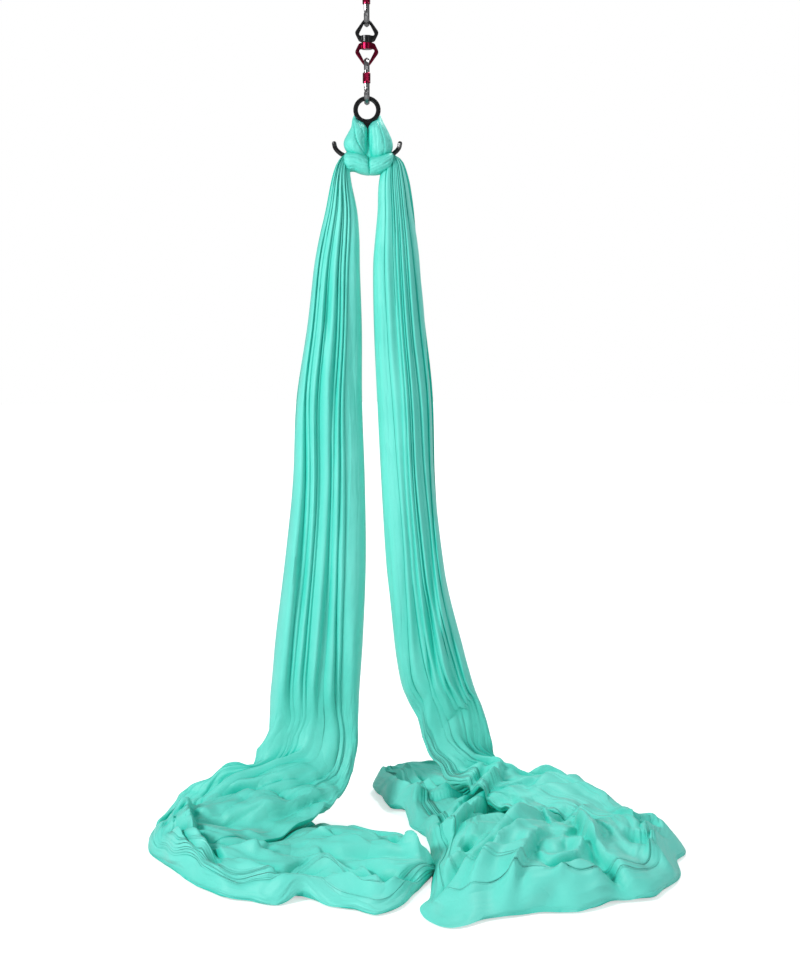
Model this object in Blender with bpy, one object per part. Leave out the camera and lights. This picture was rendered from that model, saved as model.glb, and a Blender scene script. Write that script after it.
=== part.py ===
"""Aerial yoga hammock: one gathered tricot sheet tied on a rescue figure eight, hung from
a ball bearing swivel between two screw gate carabiners.

Metres, +Z up, +X to the right and -Y towards the viewer. The origin is the hang point,
the inside top of the upper carabiner, where a ceiling ring bears on it.
"""

import math

import bpy
import numpy as np
from mathutils import Matrix, Vector

GAP = 0.0003  # air between two pieces that touch
RUNNING_GAP = 0.0004  # air between two pieces that slide or turn on each other
PAST = 0.010  # how far a cutting guide passes what it cuts
CHAMFER = 0.0008  # on the edges of turned metal

# Carabiner: a D frame of forged bar, in the YZ plane, with its gate towards the viewer
CARABINER_PITCH = 0.098  # between the centres of the bar at the top and bottom bends
BAR_RADIUS = 0.006  # the inner, rope bearing half of the bar is round
RIDGE_HEIGHT = 0.004  # the outer half is forged down to a low ridge
SPINE_HEIGHT = 0.005  # the same height along the straight spine
SPINE_BEND = 0.016  # radius of the two bends at the spine
GATE_REACH = 0.034  # from the hang line to the gate's centre
SHOULDER_DROP = 0.020  # height of the long bends on the gate side
NOSE_DROP = 0.0210  # from the inside top down to the end of the nose
HINGE_DROP = 0.0650  # from the inside top down to the gate's hinge pin
GATE_RADIUS = 0.00575
GATE_BORE = 0.0033  # radius of the bore for the spring
GATE_GAP = 0.0008  # between the nose and the gate's end, so that the gate can swing
HINGE_PIN_RADIUS = 0.0015
LATCH_PIN_RADIUS = 0.0012
LATCH_DROP = 0.0030  # from the end of the nose down to the latch pin
TONGUE_WIDTH = 0.0040  # thickness of the nose's hooked tongue
TONGUE_LENGTH = 0.0055
TONGUE_LIP = 0.0010  # the hook stops this far short of the tongue's inner face
TONGUE_ROOM = 0.0015  # free depth in the gate's fork below the tongue
TANG_WIDTH = 0.0044  # thickness of the hinge tang
TANG_RADIUS = 0.0034
TANG_ROOM = 0.0011  # free height in the gate's slot above the tang
SPRING_RADIUS = 0.0022
SPRING_WIRE = 0.00045
SPRING_TURNS = 8
SPRING_LENGTH = 0.0165
PLUNGER_HEAD = 0.0038
SLEEVE_LENGTH = 0.0236
SLEEVE_RADIUS = 0.00885
SLEEVE_FLUTES = 12
SLEEVE_ROOM = 0.0014  # the open sleeve rests this far below the tongue, so the gate can swing

# Swivel: two forged eyes in the XZ plane, joined by a bolt on a ball thrust bearing
EYE_HEIGHT = 0.0525
EYE_SHOULDER = (0.0280, 0.0215)  # half the greatest width, and its height above the base
EYE_BASE_HALF = 0.0175
SEAT_GAP = 0.00045  # between an eye and the carabiner bar that it hangs on or carries
EYE_FOOT_ROUND = 0.0050
EYE_SIDE_ROUND = 0.0080
EYE_TOP_BAR = 0.0090
EYE_HALF_DEPTH = 0.0046
EYE_HOLE_ARC = 0.0075  # radius of the hole's end, a little over the bar that bears in it
EYE_HOLE_HALF = 0.0195
EYE_HOLE_CORNER = 0.0035
BOSS_RADIUS = 0.0130
BOSS_HEIGHT = 0.0145
SEAL_THICKNESS = 0.0008
BOLT_RADIUS = 0.0040
BOLT_HEAD_RADIUS = 0.0070
BOLT_HEAD_HEIGHT = 0.0045
NUT_RADIUS = 0.0075
NUT_HEIGHT = 0.0040
SHELF = 0.0035  # floor of the bearing pocket
POCKET_RADIUS = 0.0100
RACE_THICKNESS = 0.0018
BALL_RADIUS = 0.0015
BALL_COUNT = 10
BALL_CIRCLE = 0.0070
GROOVE_DEPTH = 0.0005

# Figure eight with ears: round forged bar in the XZ plane
SMALL_RING = 0.0261  # radius to the middle of the bar
SMALL_BAR = 0.0054
LARGE_RING = 0.0425
LARGE_BAR = 0.0055
NECK_LENGTH = 0.0083  # between the outsides of the two rings
NECK_HALF_WIDTH = 0.0120
EAR_BAR = 0.0052
EAR_DROP = 0.0160  # the ears leave the large ring this far below its centre
EAR_SPREAD = 0.0755  # from the middle to the ear's tip
EAR_RISE = 0.0290  # from the ear's root up to its tip

# Fabric: one sheet, gathered and doubled over the figure eight
FLOOR_DROP = 1.9480  # from the hang point to the floor
TAIL_TOP_RADIUS = 0.0160  # roll of gathered fabric where a tail leaves the wrap
TAIL_AXIS_DROP = 0.0390  # from the middle of the large ring down to the tails' roll
POOL_SEAT = 0.0550  # height of the pooled fabric under a tail
HEM_HEIGHT = 0.0060  # thickness of the pooled fabric at its edge
LOW_HEAP = 0.0300  # what lies between two laps over the hem

# Places that follow from the sizes
NOSE_Z = -NOSE_DROP
HINGE_Z = -HINGE_DROP
BEND_TOP = BAR_RADIUS
BEND_BOTTOM = BAR_RADIUS - CARABINER_PITCH
CLEAR_OF_BAR = BAR_RADIUS + GAP
EYE_SEAT = EYE_HEIGHT - EYE_TOP_BAR - BAR_RADIUS - SEAT_GAP
TOP_EYE_BASE = BEND_BOTTOM - EYE_SEAT
BOTTOM_EYE_BASE = TOP_EYE_BASE - SEAL_THICKNESS - 2 * GAP
RED_BAR_Z = BOTTOM_EYE_BASE - EYE_HEIGHT + EYE_TOP_BAR / 2
LOWER_BEND_TOP = BOTTOM_EYE_BASE - EYE_SEAT
LOWER_OFFSET = LOWER_BEND_TOP - BEND_TOP
LOWER_BEND_BOTTOM = BEND_BOTTOM + LOWER_OFFSET
SMALL_RING_Z = LOWER_BEND_BOTTOM + CLEAR_OF_BAR - SMALL_RING + SMALL_BAR
LARGE_RING_Z = SMALL_RING_Z - SMALL_RING - SMALL_BAR - NECK_LENGTH - LARGE_BAR - LARGE_RING
TAIL_AXIS_Z = LARGE_RING_Z - TAIL_AXIS_DROP
FLOOR_Z = -FLOOR_DROP


def clear_scene():
    for obj in list(bpy.data.objects):
        bpy.data.objects.remove(obj, do_unlink=True)


def make_material(name, colour, roughness, metallic):
    material = bpy.data.materials.new(name)
    material.use_nodes = True
    shader = material.node_tree.nodes["Principled BSDF"]
    shader.inputs["Base Color"].default_value = (*colour, 1.0)
    shader.inputs["Roughness"].default_value = roughness
    shader.inputs["Metallic"].default_value = metallic
    material.diffuse_color = (*colour, 1.0)
    return material


def add_object(name, points, faces, material=None, smooth_angle=40):
    """A mesh object from points and faces that already lie where the piece does."""
    mesh = bpy.data.meshes.new(name)
    mesh.from_pydata([tuple(p) for p in points], [], faces)
    mesh.shade_smooth()
    mesh.set_sharp_from_angle(angle=math.radians(smooth_angle))
    mesh.validate()
    obj = bpy.data.objects.new(name, mesh)
    bpy.context.collection.objects.link(obj)
    if material is not None:
        mesh.materials.append(material)
    return obj


def combine(target, other, operation="UNION"):
    """Joins or cuts target with a helper object, which stays in the file as a wire guide."""
    other.hide_render = True
    other.hide_set(True)
    other.display_type = "WIRE"
    modifier = target.modifiers.new(other.name, "BOOLEAN")
    modifier.operation = operation
    modifier.solver = "EXACT"
    modifier.object = other


def hang_on(pivot, *pieces):
    """Parents the pieces to an empty that stands on their joint's axis."""
    for piece in pieces:
        piece.parent = pivot
        piece.matrix_parent_inverse = Matrix.Translation(-pivot.matrix_world.translation)


def add_pivot(name, place, parent=None):
    pivot = bpy.data.objects.new(name, None)
    pivot.empty_display_size = 0.01
    bpy.context.collection.objects.link(pivot)
    pivot.location = place
    bpy.context.view_layer.update()
    if parent is not None:
        pivot.parent = parent
        pivot.matrix_parent_inverse = Matrix.Translation(-parent.matrix_world.translation)
        bpy.context.view_layer.update()
    return pivot


def bridge(rings, closed_path=False):
    """Faces between neighbouring rings of equal length, with flat ends on an open path."""
    count = len(rings[0])
    points = [p for ring in rings for p in ring]
    faces = []
    spans = len(rings) if closed_path else len(rings) - 1
    for i in range(spans):
        a = i * count
        b = ((i + 1) % len(rings)) * count
        for j in range(count):
            k = (j + 1) % count
            faces.append((a + j, a + k, b + k, b + j))
    if not closed_path:
        last = (len(rings) - 1) * count
        faces.append(tuple(range(count - 1, -1, -1)))
        faces.append(tuple(range(last, last + count)))
    return points, faces


def signed_volume(points, faces):
    points = np.array([tuple(p) for p in points])
    total = 0.0
    for face in faces:
        for i in range(1, len(face) - 1):
            a, b, c = points[face[0]], points[face[i]], points[face[i + 1]]
            total += np.dot(a, np.cross(b, c))
    return total / 6


def add_rings(name, rings, material=None, closed_path=False, smooth_angle=40):
    """A solid from a run of rings, turned so that its faces point outwards."""
    points, faces = bridge(rings, closed_path)
    if signed_volume(points, faces) < 0:
        faces = [tuple(reversed(face)) for face in faces]
    return add_object(name, points, faces, material, smooth_angle)


def turned(name, profile, place, material=None, segments=24, axis="Z", flutes=None):
    """A turned solid. The profile is (radius, height) from one end to the other. A profile
    that comes back to its start is a ring, and any other is closed at its ends."""
    rings = []
    for radius, height in profile:
        ring = []
        for i in range(segments):
            angle = 2 * math.pi * i / segments
            r = radius * (flutes(radius, height, i) if flutes else 1.0)
            ring.append(Vector((r * math.cos(angle), r * math.sin(angle), height)))
        rings.append(ring)
    closed = profile[0] == profile[-1]
    if closed:
        rings.pop()
    turn = Matrix.Rotation(math.pi / 2, 3, "Y") if axis == "X" else Matrix.Identity(3)
    rings = [[turn @ p + Vector(place) for p in ring] for ring in rings]
    return add_rings(name, rings, material, closed)


def extruded(name, outline, half_depth, place, material=None):
    """A flat outline in the YZ plane, thickened both ways along X."""
    ring = [Vector((-half_depth, y, z)) + Vector(place) for y, z in outline]
    other = [Vector((half_depth, y, z)) + Vector(place) for y, z in outline]
    return add_rings(name, [ring, other], material)


def box_guide(name, low, high):
    corners = [(low[0], low[1]), (high[0], low[1]), (high[0], high[1]), (low[0], high[1])]
    return add_rings(name, [[Vector((x, y, z)) for x, y in corners] for z in (low[2], high[2])])


def smooth_curve(points, steps, closed=False):
    """A Catmull-Rom curve through a few points, as a list of vectors."""
    points = [Vector(p) for p in points]
    count = len(points)
    spans = count if closed else count - 1
    found = []
    for i in range(spans):
        p1 = points[i]
        p2 = points[(i + 1) % count]
        p0 = points[i - 1] if closed or i else p1 * 2 - p2
        p3 = points[(i + 2) % count] if closed or i + 2 < count else p2 * 2 - p1
        for k in range(steps):
            t = k / steps
            spread = 2 * p1 + (p2 - p0) * t
            spread += (2 * p0 - 5 * p1 + 4 * p2 - p3) * t**2
            spread += (3 * p1 - p0 - 3 * p2 + p3) * t**3
            found.append(spread / 2)
    if not closed:
        found.append(points[-1])
    return found


def tube(name, path, radii, material=None, sides=10, side_axis=None, closed=False):
    """A round bar along a path that lies in one plane, whose normal is side_axis."""
    across = Vector(side_axis or (0, 1, 0))
    rings = []
    for i, point in enumerate(path):
        ahead = path[(i + 1) % len(path)] if closed or i + 1 < len(path) else point
        behind = path[i - 1] if closed or i else point
        normal = across.cross((ahead - behind).normalized())
        radius = radii[i]
        ring = []
        for k in range(sides):
            angle = 2 * math.pi * k / sides
            ring.append(point + radius * (math.cos(angle) * normal + math.sin(angle) * across))
        rings.append(ring)
    return add_rings(name, rings, material, closed)


# The carabiner's frame, one bar bent to a D


def carabiner_path():
    """Points (y, z, outward y, outward z, ridge share) from the nose round to the hinge."""
    path = []
    straight_top = BEND_TOP - SHOULDER_DROP
    straight_bottom = BEND_BOTTOM + SHOULDER_DROP
    hinge_shoulder = HINGE_Z - GATE_RADIUS - RUNNING_GAP
    path.append((-GATE_REACH, NOSE_Z, -1, 0, 0))
    steps = 8
    for i in range(steps):
        a = math.pi / 2 * i / steps
        y, z = -GATE_REACH * math.cos(a), straight_top + SHOULDER_DROP * math.sin(a)
        out = Vector((-SHOULDER_DROP * math.cos(a), GATE_REACH * math.sin(a))).normalized()
        path.append((y, z, out[0], out[1], math.sin(a)))
    for i in range(7):
        a = math.pi / 2 * i / 6
        y, z = SPINE_BEND * math.sin(a), BEND_TOP - SPINE_BEND + SPINE_BEND * math.cos(a)
        path.append((y, z, math.sin(a), math.cos(a), 1 + a))
    for i in range(7):
        a = math.pi / 2 * i / 6
        y, z = SPINE_BEND * math.cos(a), BEND_BOTTOM + SPINE_BEND - SPINE_BEND * math.sin(a)
        path.append((y, z, math.cos(a), -math.sin(a), 1 + math.pi / 2 - a))
    for i in range(1, steps + 1):
        a = math.pi / 2 * (1 - i / steps)
        y, z = -GATE_REACH * math.cos(a), straight_bottom - SHOULDER_DROP * math.sin(a)
        out = Vector((-SHOULDER_DROP * math.cos(a), -GATE_REACH * math.sin(a))).normalized()
        path.append((y, z, out[0], out[1], math.sin(a)))
    path.append((-GATE_REACH, hinge_shoulder, -1, 0, 0))
    return path


def carabiner_section(share, sides=12):
    """(outward, across) points of the bar: round inside, and outside a ridge on the bends."""
    on_bend = min(share, 1.0)
    on_spine = max(share - 1.0, 0.0) / (math.pi / 2)
    height = RIDGE_HEIGHT + (SPINE_HEIGHT - RIDGE_HEIGHT) * on_spine
    section = []
    for k in range(sides):
        a = 2 * math.pi * k / sides
        out, across = BAR_RADIUS * math.cos(a), BAR_RADIUS * math.sin(a)
        if math.cos(a) > 1e-6:
            sharp = height * (1 - abs(math.sin(a))) ** 0.75
            round_back = height * math.cos(a)
            ridge = sharp + (round_back - sharp) * on_spine
            out += (ridge - out) * on_bend
        section.append((out, across))
    return section


def carabiner_frame(name, drop, material):
    rings = []
    for y, z, out_y, out_z, share in carabiner_path():
        ring = []
        for out, across in carabiner_section(share):
            ring.append(Vector((across, y + out * out_y, z + drop + out * out_z)))
        rings.append(ring)
    frame = add_rings(name, rings, material)

    nose = (0, -GATE_REACH, NOSE_Z + drop)
    hook = LATCH_PIN_RADIUS + RUNNING_GAP
    root = TONGUE_LENGTH / 3
    front = -GATE_RADIUS * 0.7
    tongue = [
        (front, root),
        (front, -TONGUE_LENGTH),
        (-front - TONGUE_LIP, -TONGUE_LENGTH),
        (-front - TONGUE_LIP, -LATCH_DROP - hook),
        (-hook, -LATCH_DROP - hook),
        (-hook, -LATCH_DROP + hook),
        (-front, -LATCH_DROP + hook),
        (-front, root),
    ]
    combine(frame, extruded(name + "_tongue", tongue, TONGUE_WIDTH / 2, nose))

    hinge = (0, -GATE_REACH, HINGE_Z + drop)
    foot = -GATE_RADIUS - 2 * BAR_RADIUS / 3
    tang = [(-TANG_RADIUS, foot), (TANG_RADIUS, foot)]
    for i in range(9):
        a = math.pi * i / 8
        tang.append((TANG_RADIUS * math.cos(a), TANG_RADIUS * math.sin(a)))
    combine(frame, extruded(name + "_tang", tang, TANG_WIDTH / 2, hinge))
    hole = HINGE_PIN_RADIUS + GAP
    combine(frame, cross_pin(name + "_hinge_hole", hole, PAST, hinge), "DIFFERENCE")
    return frame


def cross_pin(name, radius, half_length, place, material=None, segments=12):
    """A round pin along X."""
    return turned(name, [(radius, -half_length), (radius, half_length)], place, material,
                  segments, axis="X")


def gate(name, drop, material):
    """A hollow gate: forked at the nose for the tongue and at the hinge for the tang."""
    hinge = HINGE_Z + drop
    top = NOSE_Z - GATE_GAP + drop
    profile = []
    for i in range(6):
        a = math.pi / 2 * (i + 0.5) / 5.5
        profile.append((GATE_RADIUS * math.sin(a), hinge - GATE_RADIUS * math.cos(a)))
    chamfer = GATE_RADIUS * 0.12
    profile.append((GATE_RADIUS, top - chamfer))
    profile.append((GATE_RADIUS - chamfer, top))
    body = turned(name, profile, (0, -GATE_REACH, 0), material, 20)

    spring_top = hinge + TANG_RADIUS + 2 * GAP + PLUNGER_HEAD + SPRING_LENGTH + GAP
    bore = [(GATE_BORE, hinge - PAST), (GATE_BORE, spring_top)]
    combine(body, turned(name + "_bore", bore, (0, -GATE_REACH, 0), None, 16), "DIFFERENCE")

    fork = TONGUE_WIDTH / 2 + RUNNING_GAP
    fork_bottom = NOSE_Z + drop - TONGUE_LENGTH - TONGUE_ROOM
    combine(body, box_guide(name + "_fork", (-fork, -GATE_REACH - PAST, fork_bottom),
                            (fork, -GATE_REACH + PAST, top + PAST)), "DIFFERENCE")
    slot = TANG_WIDTH / 2 + RUNNING_GAP
    slot_top = hinge + TANG_RADIUS + TANG_ROOM
    combine(body, box_guide(name + "_slot", (-slot, -GATE_REACH - PAST, hinge - PAST),
                            (slot, -GATE_REACH + PAST, slot_top)), "DIFFERENCE")
    hinge_hole = HINGE_PIN_RADIUS + GAP
    combine(body, cross_pin(name + "_hinge_hole", hinge_hole, PAST,
                            (0, -GATE_REACH, hinge)), "DIFFERENCE")
    latch_hole = LATCH_PIN_RADIUS + GAP
    combine(body, cross_pin(name + "_latch_hole", latch_hole, PAST,
                            (0, -GATE_REACH, NOSE_Z + drop - LATCH_DROP)), "DIFFERENCE")
    return body


def gate_plunger(name, drop, material):
    """The follower that the spring presses on the hinge tang."""
    low = HINGE_Z + drop + TANG_RADIUS + GAP
    head = GATE_BORE - RUNNING_GAP
    stem = SPRING_RADIUS - SPRING_WIRE - GAP
    profile = [(head, low), (head, low + PLUNGER_HEAD), (stem, low + PLUNGER_HEAD)]
    profile.append((stem, low + PLUNGER_HEAD + SPRING_LENGTH / 2))
    return turned(name, profile, (0, -GATE_REACH, 0), material, 12)


def gate_spring(name, drop, material):
    """A compression coil, one unbroken wire."""
    low = HINGE_Z + drop + TANG_RADIUS + 2 * GAP + PLUNGER_HEAD + SPRING_WIRE
    rise = SPRING_LENGTH - 2 * SPRING_WIRE
    per_turn = 8
    count = SPRING_TURNS * per_turn
    rings = []
    for i in range(count + 1):
        a = 2 * math.pi * i / per_turn
        away = Vector((math.cos(a), math.sin(a), 0))
        centre = Vector((0, -GATE_REACH, low + rise * i / count)) + SPRING_RADIUS * away
        up = Vector((0, 0, 1))
        ring = []
        for k in range(4):
            b = 2 * math.pi * k / 4
            ring.append(centre + SPRING_WIRE * (math.cos(b) * away + math.sin(b) * up))
        rings.append(ring)
    least = rise / SPRING_TURNS - 2 * SPRING_WIRE
    print(name, "least gap between turns", round(least * 1000, 2), "mm")
    return add_rings(name, rings, material)


def screw_sleeve(name, drop, material):
    """The fluted sleeve that runs up over the nose to lock the gate."""
    top = NOSE_Z - TONGUE_LENGTH - SLEEVE_ROOM + drop
    low = top - SLEEVE_LENGTH
    bore = BAR_RADIUS + RUNNING_GAP
    chamfer = SLEEVE_RADIUS * 0.13
    band = SLEEVE_LENGTH * 0.16
    waist = SLEEVE_RADIUS * 0.95
    profile = [
        (bore, low),
        (SLEEVE_RADIUS - chamfer, low),
        (SLEEVE_RADIUS, low + chamfer),
        (SLEEVE_RADIUS, low + band),
        (waist, low + band + chamfer / 2),
        (SLEEVE_RADIUS, low + band + chamfer),
        (SLEEVE_RADIUS, top - chamfer),
        (SLEEVE_RADIUS - chamfer, top),
        (bore, top),
        (bore, low),
    ]

    def flute(radius, height, index):
        gripped = low + band + chamfer / 2 < height <= top - chamfer
        return 0.965 if gripped and index % 2 else 1.0

    return turned(name, profile, (0, -GATE_REACH, 0), material, 2 * SLEEVE_FLUTES, flutes=flute)


def build_carabiner(prefix, drop, steel, red, spring_steel, parent):
    """One carabiner, with its gate and sleeve on their own pivots."""
    hinge = (0, -GATE_REACH, HINGE_Z + drop)
    pivot = add_pivot(prefix + "_gate_pivot", hinge, parent)
    latch = (0, -GATE_REACH, NOSE_Z + drop - LATCH_DROP)
    half = GATE_RADIUS * 0.95
    frame = carabiner_frame(prefix + "_carabiner_frame", drop, steel)
    hinge_pin = cross_pin(prefix + "_hinge_pin", HINGE_PIN_RADIUS, half, hinge, spring_steel)
    hang_on(parent, frame, hinge_pin)
    pieces = [
        gate(prefix + "_gate", drop, steel),
        cross_pin(prefix + "_latch_pin", LATCH_PIN_RADIUS, half, latch, spring_steel),
        gate_plunger(prefix + "_gate_plunger", drop, spring_steel),
        gate_spring(prefix + "_gate_spring", drop, spring_steel),
        screw_sleeve(prefix + "_screw_sleeve", drop, red),
    ]
    hang_on(pivot, *pieces)


# The swivel's two eyes


def rounded(corners, radii, steps=6):
    """A closed outline through the corners, each rounded by an arc of its own radius."""
    outline = []
    count = len(corners)
    for i in range(count):
        here = Vector(corners[i])
        before = (Vector(corners[i - 1]) - here).normalized()
        after = (Vector(corners[(i + 1) % count]) - here).normalized()
        half = before.angle(after) / 2
        reach = radii[i] / math.tan(half)
        centre = here + (before + after).normalized() * (radii[i] / math.sin(half))
        start = here + before * reach - centre
        sweep = start.angle_signed(here + after * reach - centre)
        for k in range(steps + 1):
            a = -sweep * k / steps
            turn = Matrix.Rotation(a, 2)
            outline.append(centre + turn @ start)
    return outline


def apex_height(top, radius, shoulder):
    """Height of the sharp corner whose arc of this radius just reaches top."""
    height = top
    for _ in range(40):
        half = math.atan2(shoulder[0], height - shoulder[1])
        height = top + radius * (1 / math.sin(half) - 1)
    return height


def reach_at(outline, centre, angle):
    """Distance from centre to the outline in one direction."""
    ray = Vector((math.cos(angle), math.sin(angle)))
    best = 0.0
    for i, point in enumerate(outline):
        a = point - centre
        b = outline[(i + 1) % len(outline)] - centre
        side_a, side_b = ray.cross(a), ray.cross(b)
        if side_a * side_b > 0 or side_a == side_b:
            continue
        hit = a + (b - a) * (side_a / (side_a - side_b))
        best = max(best, hit.dot(ray))
    return best


def swivel_eye(name, base, up, material):
    """An eye that stands on its boss at height base, upwards (up=1) or hanging (up=-1)."""
    apex_radius = EYE_HOLE_ARC + EYE_TOP_BAR / 3
    outer_apex = apex_height(EYE_HEIGHT, apex_radius, EYE_SHOULDER)
    outer = rounded(
        [(-EYE_BASE_HALF, 0), (-EYE_SHOULDER[0], EYE_SHOULDER[1]), (0, outer_apex),
         EYE_SHOULDER, (EYE_BASE_HALF, 0)],
        [EYE_FOOT_ROUND, EYE_SIDE_ROUND, apex_radius, EYE_SIDE_ROUND, EYE_FOOT_ROUND],
    )
    corner = (EYE_HOLE_HALF, BOSS_HEIGHT)
    hole_apex = apex_height(EYE_HEIGHT - EYE_TOP_BAR, EYE_HOLE_ARC, corner)
    hole = rounded([(-corner[0], corner[1]), (0, hole_apex), corner],
                   [EYE_HOLE_CORNER, EYE_HOLE_ARC, EYE_HOLE_CORNER])
    middle = Vector((0, (BOSS_HEIGHT + EYE_HEIGHT - EYE_TOP_BAR) * 0.41))
    rings = []
    count = 40
    for i in range(count):
        angle = 2 * math.pi * (i + 0.5) / count
        ray = Vector((math.cos(angle), math.sin(angle)))
        far, near = reach_at(outer, middle, angle), reach_at(hole, middle, angle)
        ring = []
        for k in range(8):
            a = 2 * math.pi * (k + 0.5) / 8
            squared = 1 / max(abs(math.cos(a)), abs(math.sin(a))) ** 0.2
            out = (far + near) / 2 + (far - near) / 2 * min(1.0, squared * math.cos(a) * 1.02)
            depth = EYE_HALF_DEPTH * squared * math.sin(a) * 0.98
            flat = middle + ray * out
            ring.append(Vector((flat[0], depth, base + up * flat[1])))
        rings.append(ring)
    eye = add_rings(name, rings, material, closed_path=True)

    boss = [
        (BOSS_RADIUS - CHAMFER, 0),
        (BOSS_RADIUS, CHAMFER),
        (BOSS_RADIUS, BOSS_HEIGHT - CHAMFER),
        (BOSS_RADIUS - CHAMFER, BOSS_HEIGHT),
    ]
    boss = [(r, base + up * z) for r, z in boss]
    combine(eye, turned(name + "_boss", boss, (0, 0, 0), None, 32))
    return eye


def bore_guide(name, radius, low, high):
    return turned(name, [(radius, low), (radius, high)], (0, 0, 0), None, 24)


def hexagon(name, radius, low, high, material=None):
    return turned(name, [(radius, low), (radius, high)], (0, 0, 0), material, 6)


def race(name, ball_z, side, material):
    """A grooved washer of the thrust bearing, below (side=-1) or above (side=1) the balls."""
    inner, outer = BOLT_RADIUS + GAP + RUNNING_GAP, POCKET_RADIUS - RUNNING_GAP
    groove = BALL_RADIUS + GAP
    face = groove - GROOVE_DEPTH
    half = math.acos(face / groove)
    profile = [(inner, ball_z + side * (face + RACE_THICKNESS)), (inner, ball_z + side * face)]
    for i in range(5):
        a = -half + 2 * half * i / 4
        profile.append((BALL_CIRCLE + groove * math.sin(a), ball_z + side * groove * math.cos(a)))
    profile.append((outer, ball_z + side * face))
    profile.append((outer, ball_z + side * (face + RACE_THICKNESS)))
    profile.append(profile[0])
    return turned(name, profile, (0, 0, 0), material, 24)


def ball(name, place, material):
    profile = []
    for i in range(1, 6):
        a = math.pi * i / 6
        profile.append((BALL_RADIUS * math.sin(a), BALL_RADIUS * math.cos(a)))
    return turned(name, profile, place, material, 8)


def build_swivel(black, red, steel, rubber, top_pivot, spin_pivot):
    top_base, bottom_base = TOP_EYE_BASE, BOTTOM_EYE_BASE
    shank = BOLT_RADIUS + GAP
    top_eye = swivel_eye("swivel_top_eye", top_base, 1, black)
    floor = top_base + SHELF
    roof = top_base + BOSS_HEIGHT
    shank_hole = bore_guide("top_shank_hole", shank, top_base - PAST, floor + CHAMFER)
    combine(top_eye, shank_hole, "DIFFERENCE")
    pocket = bore_guide("top_pocket", POCKET_RADIUS, floor, roof + PAST)
    combine(top_eye, pocket, "DIFFERENCE")

    bottom_eye = swivel_eye("swivel_bottom_eye", bottom_base, -1, red)
    underside = bottom_base - BOSS_HEIGHT
    head_top = underside + BOLT_HEAD_HEIGHT
    long_hole = bore_guide("bottom_shank_hole", shank, head_top - CHAMFER, bottom_base + PAST)
    combine(bottom_eye, long_hole, "DIFFERENCE")
    head_pocket = bore_guide("bottom_pocket", BOLT_HEAD_RADIUS + 2 * GAP,
                             underside - PAST, head_top + GAP)
    combine(bottom_eye, head_pocket, "DIFFERENCE")

    face = BALL_RADIUS + GAP - GROOVE_DEPTH
    ball_z = floor + GAP + RACE_THICKNESS + face
    nut_low = ball_z + face + RACE_THICKNESS + GAP
    bolt = turned("swivel_bolt", [(BOLT_RADIUS, underside + GAP), (BOLT_RADIUS, nut_low + NUT_HEIGHT)],
                  (0, 0, 0), steel, 20)
    combine(bolt, hexagon("bolt_head", BOLT_HEAD_RADIUS, underside, head_top))
    nut = hexagon("swivel_nut", NUT_RADIUS, nut_low, nut_low + NUT_HEIGHT, steel)
    combine(nut, bore_guide("nut_hole", shank, nut_low - PAST, nut_low + NUT_HEIGHT + PAST),
            "DIFFERENCE")
    lower_race = race("swivel_lower_race", ball_z, -1, steel)
    upper_race = race("swivel_upper_race", ball_z, 1, steel)
    balls = []
    for i in range(BALL_COUNT):
        a = 2 * math.pi * i / BALL_COUNT
        place = (BALL_CIRCLE * math.cos(a), BALL_CIRCLE * math.sin(a), ball_z)
        balls.append(ball(f"swivel_ball_{i + 1:02d}", place, steel))
    seal_top = top_base - GAP
    inner, outer = shank + RUNNING_GAP, BOSS_RADIUS - SEAL_THICKNESS
    seal = turned("swivel_seal", [(inner, seal_top), (outer, seal_top),
                                  (outer, seal_top - SEAL_THICKNESS),
                                  (inner, seal_top - SEAL_THICKNESS), (inner, seal_top)],
                  (0, 0, 0), rubber, 24)
    hang_on(top_pivot, top_eye, lower_race, seal, *balls)
    hang_on(spin_pivot, bottom_eye, bolt, nut, upper_race)


# The figure eight with ears


def ring_tube(name, radius, bar, centre_z, count, material=None, sides=10):
    path = []
    for i in range(count):
        a = 2 * math.pi * (i + 0.5) / count
        path.append(Vector((radius * math.cos(a), 0, centre_z + radius * math.sin(a))))
    return tube(name, path, [bar] * count, material, sides, closed=True)


def ear(name, side, grow):
    """One ear: out of the large ring, then curved up to a rounded tip."""
    root_z = LARGE_RING_Z - EAR_DROP
    root_x = math.sqrt(LARGE_RING**2 - EAR_DROP**2)
    span = EAR_SPREAD - root_x
    shape = [(0, 0.02), (0.34, 0.05), (0.66, 0.27), (0.92, 0.62), (1, 1)]
    points = [(side * (root_x + span * u), 0, root_z + EAR_RISE * v) for u, v in shape]
    path = smooth_curve(points, 3)
    radii = [EAR_BAR + grow] * len(path)
    end = path[-1]
    ahead = (end - path[-2]).normalized()
    for share in (0.5, 0.85):
        path.append(end + ahead * (EAR_BAR + grow) * share)
        radii.append((EAR_BAR + grow) * math.sqrt(1 - share**2))
    return tube(name, path, radii, sides=8)


def neck(name, grow):
    """The waisted web that joins the two rings."""
    low = LARGE_RING_Z + LARGE_RING
    high = SMALL_RING_Z - SMALL_RING
    rings = []
    for i in range(5):
        t = i / 4
        waist = NECK_HALF_WIDTH * (1 - 0.28 * math.sin(math.pi * t)) + grow
        depth = SMALL_BAR * (0.92 - 0.12 * math.sin(math.pi * t)) + grow
        ring = []
        for k in range(12):
            a = 2 * math.pi * k / 12
            x = waist * math.copysign(abs(math.cos(a)) ** 0.6, math.cos(a))
            y = depth * math.copysign(abs(math.sin(a)) ** 0.8, math.sin(a))
            ring.append(Vector((x, y, low + (high - low) * t)))
        rings.append(ring)
    return add_rings(name, rings)


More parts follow.
